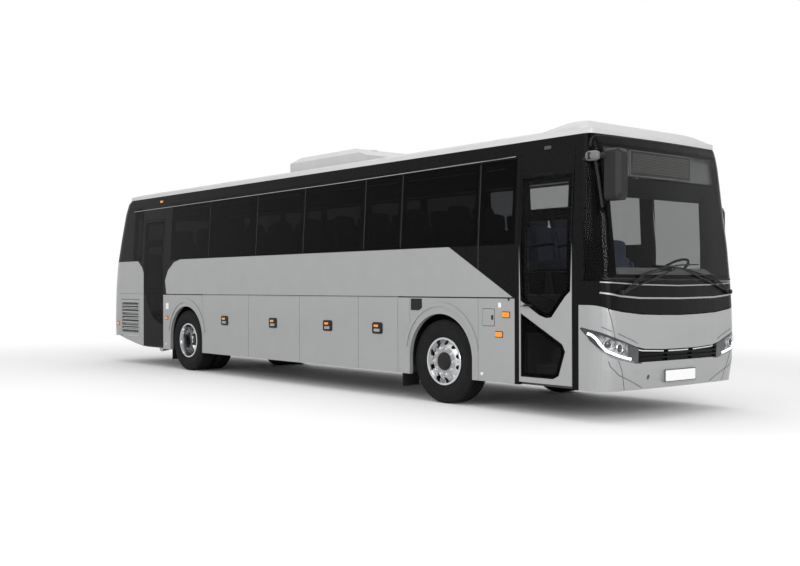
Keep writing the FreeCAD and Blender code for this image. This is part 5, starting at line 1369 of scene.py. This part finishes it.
    def add_wipers(self) -> None:
        """Blades, links and pivot caps of the two wipers."""
        links, rubber = Shape("wiper_linkage"), Shape("wiper_blades")
        for side, tip_y, tip_z, far in ((-1, -0.30, 1.62, (0.40, 1.70)), (1, 0.28, 1.58, (-0.42, 1.68))):
            pivot, out = self.skin.at(FRONT, side * 1.04, 1.385)
            links.tube([pivot, pivot + out * 0.05], 0.026, 16)
            near, knee, hand = (self.skin.at(FRONT, y, z)[0] + X * lift for y, z, lift in (
                (side * 1.0, 1.40, 0.034), (side * 0.66, 1.585, 0.034), (tip_y, tip_z, 0.0272)))
            links.tube([near, knee, hand], 0.008, 8)
            links.tube([near - Z * 0.03, knee - Z * 0.02], 0.006, 8)
            line = []
            for share in along(0.0, 1.0, 13):
                y, z = between((tip_y + side * 0.42, tip_z - 0.05), far, share)
                line.append(self.skin.at(FRONT, y, z + 0.035 * math.sin(math.pi * share))[0] + X * 0.012)
            rubber.tube(line, 0.008, 6)
            links.tube([p + X * 0.010 + Z * 0.004 for p in line[2:11]], 0.006, 6)
        links.done(Look.PLASTIC, angle=45.0)
        rubber.done(Look.RUBBER, angle=45.0)

    def add_mirrors(self) -> None:
        """Glasses and seams of both mirrors, and the guide rod and arm cap of the right one."""
        for word, (x0, y0, z0), (x1, y1, z1) in (("right", (5.82, -1.35, 2.345), (6.0, -1.16, 2.88)),
                                                 ("left", (5.395, 1.284, 1.95), (5.535, 1.448, 2.42))):
            split, seam = (z0 + (z1 - z0) * share for share in (0.3, 0.8))
            for kind, foot, head in (("main", split + 0.012, z1 - 0.03), ("wide", z0 + 0.03, split - 0.012)):
                glass = Shape(f"mirror_glass_{kind}_{word}")
                size = Vector((0.010, y1 - y0 - 0.044, head - foot))
                glass.pillow(Vector((x0 - 0.006, y0 + 0.022, foot)), size, 0.004, 0.001)
                glass.done(Look.CHROME, angle=50.0)
            outline = ((x0 - 0.001, y0 - 0.0008), (x0 - 0.001, y1), (x1 - 0.038, y1),
                       (x1 - 0.0005, y1 - 0.038), (x1 - 0.0005, y0 + 0.038), (x1 - 0.038, y0 - 0.0008))
            band = [Vector((x, y, seam - 0.005)) for x, y in outline]
            Shape("mirror_seam_" + word).prism(band, Z * 0.010).done(Look.RUBBER)
        rod = [Vector(p) for p in ((5.69, -1.335, 2.80), (5.73, -1.328, 2.6), (5.775, -1.32, 2.28))]
        Shape("entrance_guide_rod").tube(rod, 0.014, 10).done(Look.RUBBER)
        cap = Shape("mirror_arm_cap")
        cap.pillow(Vector((5.640, -1.4415, 2.765)), Vector((0.16, 0.0665, 0.095)), 0.03, 0.005)
        cap.done(Look.CREASE, angle=60.0)


@dataclass
class SideDetails:
    """Seals, handles, lamps and small plates of both sides."""

    arches: tuple[Flat, ...] = ((3.31, 0.60), (-2.99, 0.585))
    arch_z: float = 0.60
    lip_gap: float = 0.034
    rail_z: float = 2.945
    pane_zs: Flat = (1.56, 2.90)
    slats: int = 6
    slat_at: Flat = (2.885, 1.165)
    slat_half: float = 0.092
    slat_pitch: float = 0.024
    louvres: int = 13
    joints: tuple[float, ...] = (3.962, 2.581, 1.833, 0.444, -0.804, -2.234)
    markers: tuple[tuple[float, ...], ...] = (
        (4.40, 1.125, 0.055, 0.03), (4.29, 0.895, 0.055, 0.03), (-3.68, 0.90, 0.05, 0.022),
        (-5.62, 0.75, 0.05, 0.03), (-3.97, 3.005, 0.05, 0.018))

    def build(self) -> None:
        """Dress both sides and the doors."""
        for side in Side:
            skin = Skin("side_panels", "front_mask", "rear_panel", "roof", "window_frames", "tinted_glass",
                        "side_grille_" + side.word, *[f"luggage_flap_{i}_{side.word}" for i in range(1, 5)])
            self.add_lines(skin, side)
            self.add_tabs(skin, side)
            self.add_vent(skin, side)
            self.add_flap_handles(side)
            self.add_intake(side)
        self.add_doors()

    def add_lines(self, skin: Skin, side: Side) -> None:
        """Light rail over the windows, raised lips of the wheel arches, and dark joints of the panes.

        Args:
            skin: Outer surface of the side.
            side: Side of the coach.
        """
        last = 4.50 if side is Side.RIGHT else 5.10
        rail = ((-5.60, self.rail_z - 0.065), (1.18, self.rail_z - 0.035), (last, self.rail_z))
        skin.ribbon("cant_rail_" + side.word, rail, 0.009, ASIDE[side], 0.003, Look.TRIM, step=0.2)
        for k, (x, radius) in enumerate(self.arches):
            reach = radius + self.lip_gap
            turns = [math.radians(turn) for turn in along(8, 172, 25)]
            lip = [(x + reach * math.cos(turn), self.arch_z + reach * math.sin(turn)) for turn in turns]
            skin.ribbon(f"arch_lip_{k}_{side.word}", lip, 0.052, ASIDE[side], 0.012, Look.BODY, step=0.05)
        panes = Skin("tinted_glass", "window_frames")
        for k, x in enumerate(self.joints):
            panes.ribbon(f"pane_joint_{k}_{side.word}", [(x, z) for z in self.pane_zs], 0.018, ASIDE[side],
                         0.002, Look.RUBBER, step=0.1)

    def add_tabs(self, skin: Skin, side: Side) -> None:
        """Amber side markers, small tags, filler flap and vent plate.

        Args:
            skin: Outer surface of the side.
            side: Side of the coach.
        """
        for k, (x, z, half, rise) in enumerate(self.markers):
            skin.tab(f"side_marker_rim_{k}_{side.word}", side, (x, z), half + 0.008, rise + 0.008, 0.012,
                     0.004, Look.RUBBER)
            skin.tab(f"side_marker_{k}_{side.word}", side, (x, z), half, rise, 0.010, 0.011, Look.AMBER)
        for name, place, half, rise, corner, lift, finish in (
                ("cant_lamp", (4.97, 2.995), 0.05, 0.02, 0.016, 0.012, Look.LAMP_GLASS),
                ("paper_tag", (-3.66, 1.11), 0.05, 0.055, 0.004, 0.002, Look.PLATE),
                ("side_button_0", (4.02, 0.42), 0.020, 0.020, 0.019, 0.007, Look.CHROME),
                ("side_button_1", (-3.69, 0.43), 0.020, 0.020, 0.019, 0.007, Look.CHROME),
                ("vent_plate", (2.885, 1.225), 0.105, 0.075, 0.012, 0.004, Look.PLASTIC),
                ("filler_joint", (4.125, 1.09), 0.101, 0.106, 0.02, 0.0015, Look.RUBBER),
                ("filler_flap", (4.125, 1.09), 0.095, 0.10, 0.016, 0.005, Look.BODY),
                ("filler_latch", (4.19, 1.09), 0.016, 0.028, 0.006, 0.009, Look.PLASTIC),
                ("blank_tag", (4.30, 1.235), 0.022, 0.028, 0.004, 0.002, Look.PLATE)):
            skin.tab(f"{name}_{side.word}", side, place, half, rise, corner, lift, finish)
        if side is Side.RIGHT:
            skin.tab("entrance_key", side, (4.44, 1.30), 0.014, 0.014, 0.013, 0.005, Look.RUBBER)

    def add_vent(self, skin: Skin, side: Side) -> None:
        """Slats of the vent.

        Args:
            skin: Outer surface of the side.
            side: Side of the coach.
        """
        slats = Shape("vent_slats_" + side.word)
        x, z = self.slat_at
        for i in range(self.slats):
            place, normal = skin.at(ASIDE[side], x, z + i * self.slat_pitch)
            slats.bar(place - X * self.slat_half, X * 2 * self.slat_half, Z * 0.014, normal * 0.010, 0.05)
        slats.done(Look.RUBBER, bevel=0.001)

    def add_flap_handles(self, side: Side) -> None:
        """Dark rounded handle plates with an amber lamp and a latch on each luggage flap.

        Args:
            side: Side of the coach.
        """
        for i in range(1, 5):
            name = f"luggage_flap_{i}_{side.word}"
            low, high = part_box(name)
            middle = (low[0] + high[0]) / 2
            skin = Skin(name)
            for kind, place, half, rise, corner, lift, finish in (
                    ("handle", (middle, 0.90), 0.105, 0.078, 0.03, 0.010, Look.PLASTIC),
                    ("lamp", (middle - 0.02, 0.93), 0.045, 0.016, 0.012, 0.018, Look.AMBER),
                    ("latch", (middle, 0.872), 0.06, 0.020, 0.012, 0.020, Look.TRIM)):
                skin.tab(f"flap_{kind}_{i}_{side.word}", side, place, half, rise, corner, lift, finish, name)

    def add_intake(self, side: Side) -> None:
        """Louvres of the engine bay's side grille.

        Args:
            side: Side of the coach.
        """
        name = "side_grille_" + side.word
        skin = Skin(name)
        (x0, _, z0), (x1, _, z1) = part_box(name)
        middle = (x0 + x1) / 2
        _, normal = skin.at(ASIDE[side], middle, (z0 + z1) / 2)
        louvres = Shape("intake_louvres_" + side.word)
        for i in range(self.louvres):
            root, _ = skin.at(ASIDE[side], middle, z0 + 0.10 + i * (z1 - z0 - 0.2) / (self.louvres - 0.5))
            foot = Vector((x0 + 0.07, root.y, root.z))
            louvres.bar(foot, X * (x1 - x0 - 0.14), Z * 0.016, normal * 0.007 - Z * 0.008, 0.02)
        louvres.done(Look.BODY, name, bevel=0.001)

    def add_doors(self) -> None:
        """Handles and panel joints of the two doors."""
        for end, x, z, half in (("front", 4.77, 1.31, 0.085), ("rear", -4.36, 1.30, 0.07)):
            name, body = f"{end}_door_skin", f"{end}_door"
            skin = Skin(name)
            skin.tab(f"{end}_door_cup", Side.RIGHT, (x, z), half, 0.052, 0.02, 0.003, Look.PLASTIC, body)
            skin.tab(f"{end}_door_handle", Side.RIGHT, (x, z + 0.012), half - 0.02, 0.016, 0.014, 0.018,
                     Look.PLASTIC, body)
            low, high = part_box(name)
            skin.ribbon(f"{end}_door_joint", ((low[0] + 0.03, 1.44), (high[0] - 0.03, 1.44)), 0.007,
                        ASIDE[Side.RIGHT], 0.001, Look.RUBBER, body, step=0.1)


@dataclass
class RoofDetails:
    """Front cap, seams, catches and fans of the roof."""

    cap_x: float = 4.70
    cap_length: float = 0.93
    cap_half: float = 1.16
    cap_rise: float = 0.062
    cap_edge: float = 0.10
    fan_radius: float = 0.172
    fan_xs: tuple[float, ...] = (-0.05, 0.40, 0.85)
    fan_y: float = 0.40
    guard_bars: int = 9
    seam_xs: tuple[float, ...] = (-4.4, -2.0, 2.0, 4.1)
    catch_xs: Flat = (-2.7, 3.3)
    catch_y: float = 0.24

    def build(self) -> None:
        """Dress the roof."""
        skin = Skin("roof", "roof_units")
        self.add_fans(skin)
        self.add_front_cap(skin)
        for k, x in enumerate(self.seam_xs):
            skin.ribbon(f"roof_seam_{k}", ((x, -1.15), (x, 1.15)), 0.012, TOP, 0.002, Look.TRIM, step=0.08)
        catches = Shape("hatch_catches")
        for x, y in ((x, y) for x in self.catch_xs for y in (-self.catch_y, self.catch_y)):
            place, _ = skin.at(TOP, x, y)
            catches.box(place - Vector((0.03, 0.02, 0.004)), place + Vector((0.03, 0.02, 0.014)))
        catches.done(Look.PLASTIC, bevel=0.003)

    def add_front_cap(self, skin: Skin) -> None:
        """Low moulded cap over the front end of the roof.

        Args:
            skin: Outer surface of the roof.
        """
        ys = along(-self.cap_half, self.cap_half, 29)
        edges = [math.sin(min(1.0, (self.cap_half - abs(y)) / self.cap_edge) * math.pi / 2) for y in ys]
        tops, feet = [], []
        for share in along(0.0, 1.0, 15):
            crown = self.cap_rise * math.sin(math.pi * min(1.0, share * 1.18) ** 1.4)
            spots = [skin.at(TOP, self.cap_x + self.cap_length * share, y)[0] for y in ys]
            tops.append([spot + Z * (max(crown * edge, 0.0) + 0.001) for spot, edge in zip(spots, edges)])
            feet.append([spot - Z * 0.004 for spot in spots])
        Shape("roof_front_cap").sheet(tops, feet).done(Look.ROOF, angle=50.0)

    def add_fans(self, skin: Skin) -> None:
        """Rings and guard bars of the condenser fans.

        Args:
            skin: Outer surface of the roof.
        """
        rings, bars = Shape("roof_fan_rings"), Shape("roof_fan_blades")
        marks = ((0.205, -0.006), (0.205, 0.0004), (0.200, 0.0012), (0.180, 0.0012),
                 (self.fan_radius, 0.0004), (self.fan_radius, -0.006))
        for x, y in ((x, y) for x in self.fan_xs for y in (-self.fan_y, self.fan_y)):
            place, _ = skin.at(TOP, x, y)
            rings.rings(place, Z, X, marks, 40, wrap=True)
            for off in along(-0.144, 0.144, self.guard_bars):
                run = X * math.sqrt(self.fan_radius ** 2 - off ** 2)
                middle = place + Y * off - Z * 0.0035
                bars.tube([middle - run, middle + run], 0.0045, 8)
        rings.done(Look.ROOF, bevel=0.003)
        bars.done(Look.RUBBER)


@dataclass
class RearDetails:
    """Lamps, louvres and handle of the rear."""

    lens_y: float = 1.085
    louvre_y: float = 0.40
    louvre_half: float = 0.30
    louvre_zs: Flat = (0.68, 0.84)
    louvres: int = 9
    handle_z: float = 1.10
    rim_marks: tuple[Flat, ...] = ((0.064, -0.004), (0.064, 0.006), (0.056, 0.006), (0.056, -0.004))
    lens_marks: tuple[Flat, ...] = ((0.056, -0.002), (0.051, 0.007), (0.03, 0.012), (0.002, 0.014))

    def build(self) -> None:
        """Dress the rear."""
        skin = Skin("rear_panel", "engine_lid", "tail_lamps", "rear_window_frame", "tinted_glass")
        self.add_lenses(skin)
        self.add_lid(Skin("engine_lid"))
        place, _ = skin.at(REAR, 0.0, 2.93)
        Shape("high_brake_lamp").box((place.x - 0.010, -0.20, 2.915), (place.x + 0.012, 0.20, 2.945)).done(
            Look.RED, bevel=0.004)

    def add_lenses(self, skin: Skin) -> None:
        """Three ringed round lenses on each tail lamp.

        Args:
            skin: Outer surface of the rear.
        """
        low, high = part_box("tail_lamps")
        for side in Side:
            for k, finish in enumerate((Look.PLATE, Look.AMBER, Look.RED)):
                z = low[2] + (k + 0.5) * (high[2] - low[2]) / 3
                place, normal = skin.at(REAR, side.value * self.lens_y, z)
                across = Z.cross(normal).normalized()
                rim, lens = (Shape(f"rear_{kind}_{k}_{side.word}") for kind in ("lens_rim", "lens"))
                rim.rings(place, normal, across, self.rim_marks, 32, wrap=True).done(Look.CHROME)
                lens.rings(place, normal, across, self.lens_marks, 32).done(finish, angle=60.0)

    def add_lid(self, skin: Skin) -> None:
        """Dark bars of painted shade in the cooling louvres' slots, and the handle of the engine lid.

        Args:
            skin: Outer surface of the lid.
        """
        # Dark bars that paint the shade inside the louvre slots.
        louvres = Shape("lid_louvres")
        for z in along(*self.louvre_zs, self.louvres):
            for y in (-self.louvre_y, self.louvre_y):
                foot = skin.at(REAR, y, z)[0] - Y * self.louvre_half
                louvres.bar(foot, Y * 2 * self.louvre_half, Z * 0.010, X * -0.0015, 0.02)
        louvres.done(Look.CREASE, "engine_lid")
        handle = Shape("lid_handle")
        place, _ = skin.at(REAR, 0.0, self.handle_z)
        handle.tube([place + X * 0.006 + Y * y for y in along(-0.16, 0.16, 5)], 0.0075, 12)
        for y in (-0.12, 0.12):
            spot, _ = skin.at(REAR, y, 1.035)
            handle.box((spot.x - 0.0015, y - 0.03, 1.025), (spot.x + 0.002, y + 0.03, 1.045))
        handle.done(Look.PLASTIC, "engine_lid", bevel=0.002)


@dataclass
class Underbody:
    """Air springs, dampers and a tail pipe under the floor, all inside the body."""

    axles: Flat = (3.31, -2.99)
    spring_y: float = 0.47
    spring_radius: float = 0.095
    spring_height: float = 0.20

    def build(self) -> None:
        """Fit the running gear that doesn't move."""
        springs, dampers = Shape("air_springs"), Shape("dampers")
        swell = [0.80 + 0.20 * abs(math.sin(share * 2 * math.pi)) for share in along(0.0, 1.0, 17)]
        bellows = [(self.spring_radius * r, self.spring_height * i / 16) for i, r in enumerate(swell)]
        for x, y in ((x, y) for x in self.axles for y in (-self.spring_y, self.spring_y)):
            springs.rings(Vector((x - 0.26, y, 0.60)), Z, X, bellows, 28)
            dampers.tube([Vector((x + 0.24, y, 0.52)), Vector((x + 0.26, y, 0.66))], 0.034, 14)
            dampers.tube([Vector((x + 0.26, y, 0.66)), Vector((x + 0.28, y, 0.84))], 0.024, 14)
        springs.done(Look.RUBBER, angle=50.0)
        dampers.done(Look.CHASSIS)
        pipe = [Vector(p) for p in ((-5.1, -0.70, 0.42), (-4.5, -0.86, 0.36), (-4.1, -1.02, 0.33),
                                    (-4.02, -1.15, 0.325), (-4.0, -1.21, 0.322))]
        Shape("exhaust_pipe").tube(pipe, 0.045, 16).done(Look.STEEL, angle=60.0)


def main() -> None:
    """Dress the coach, piece by piece."""
    logging.basicConfig(level=logging.INFO, format="%(name)s: %(message)s")
    Shell().build()
    for side in Side:
        RoadWheel("front", side, 3.31, 1.196, (1.075,)).build()
        RoadWheel("rear", side, -2.99, 0.923, (1.091, 0.755)).build()
    for part in (Seats(), Cabin(), FrontFace(), SideDetails(), RoofDetails(), RearDetails(), Underbody(),
                 Studio()):
        part.build()
        LOG.info("%s done", type(part).__name__)
    total = 0
    low, high = (Vector(corner) for corner in CAD_BOX)
    for piece in bpy.context.scene.objects:
        if piece.type == "MESH" and piece.name not in frame["nodes"]:
            faces = sum(len(f.vertices) - 2 for f in piece.data.polygons)
            total += faces
            LOG.info("%s: %d triangles", piece.name, faces)
            corners = [piece.matrix_world @ Vector(c) for c in piece.bound_box]
            beyond = [round(float(low[i] - min(c[i] for c in corners)), 4) for i in range(3)]
            beyond += [round(float(max(c[i] for c in corners) - high[i]), 4) for i in range(3)]
            if max(beyond) > 0 and piece.name != "floor":
                LOG.info("%s stands beyond the packed box: %s", piece.name, beyond)
    LOG.info("added in all: %d triangles", total)


if __name__ == "__main__":
    main()
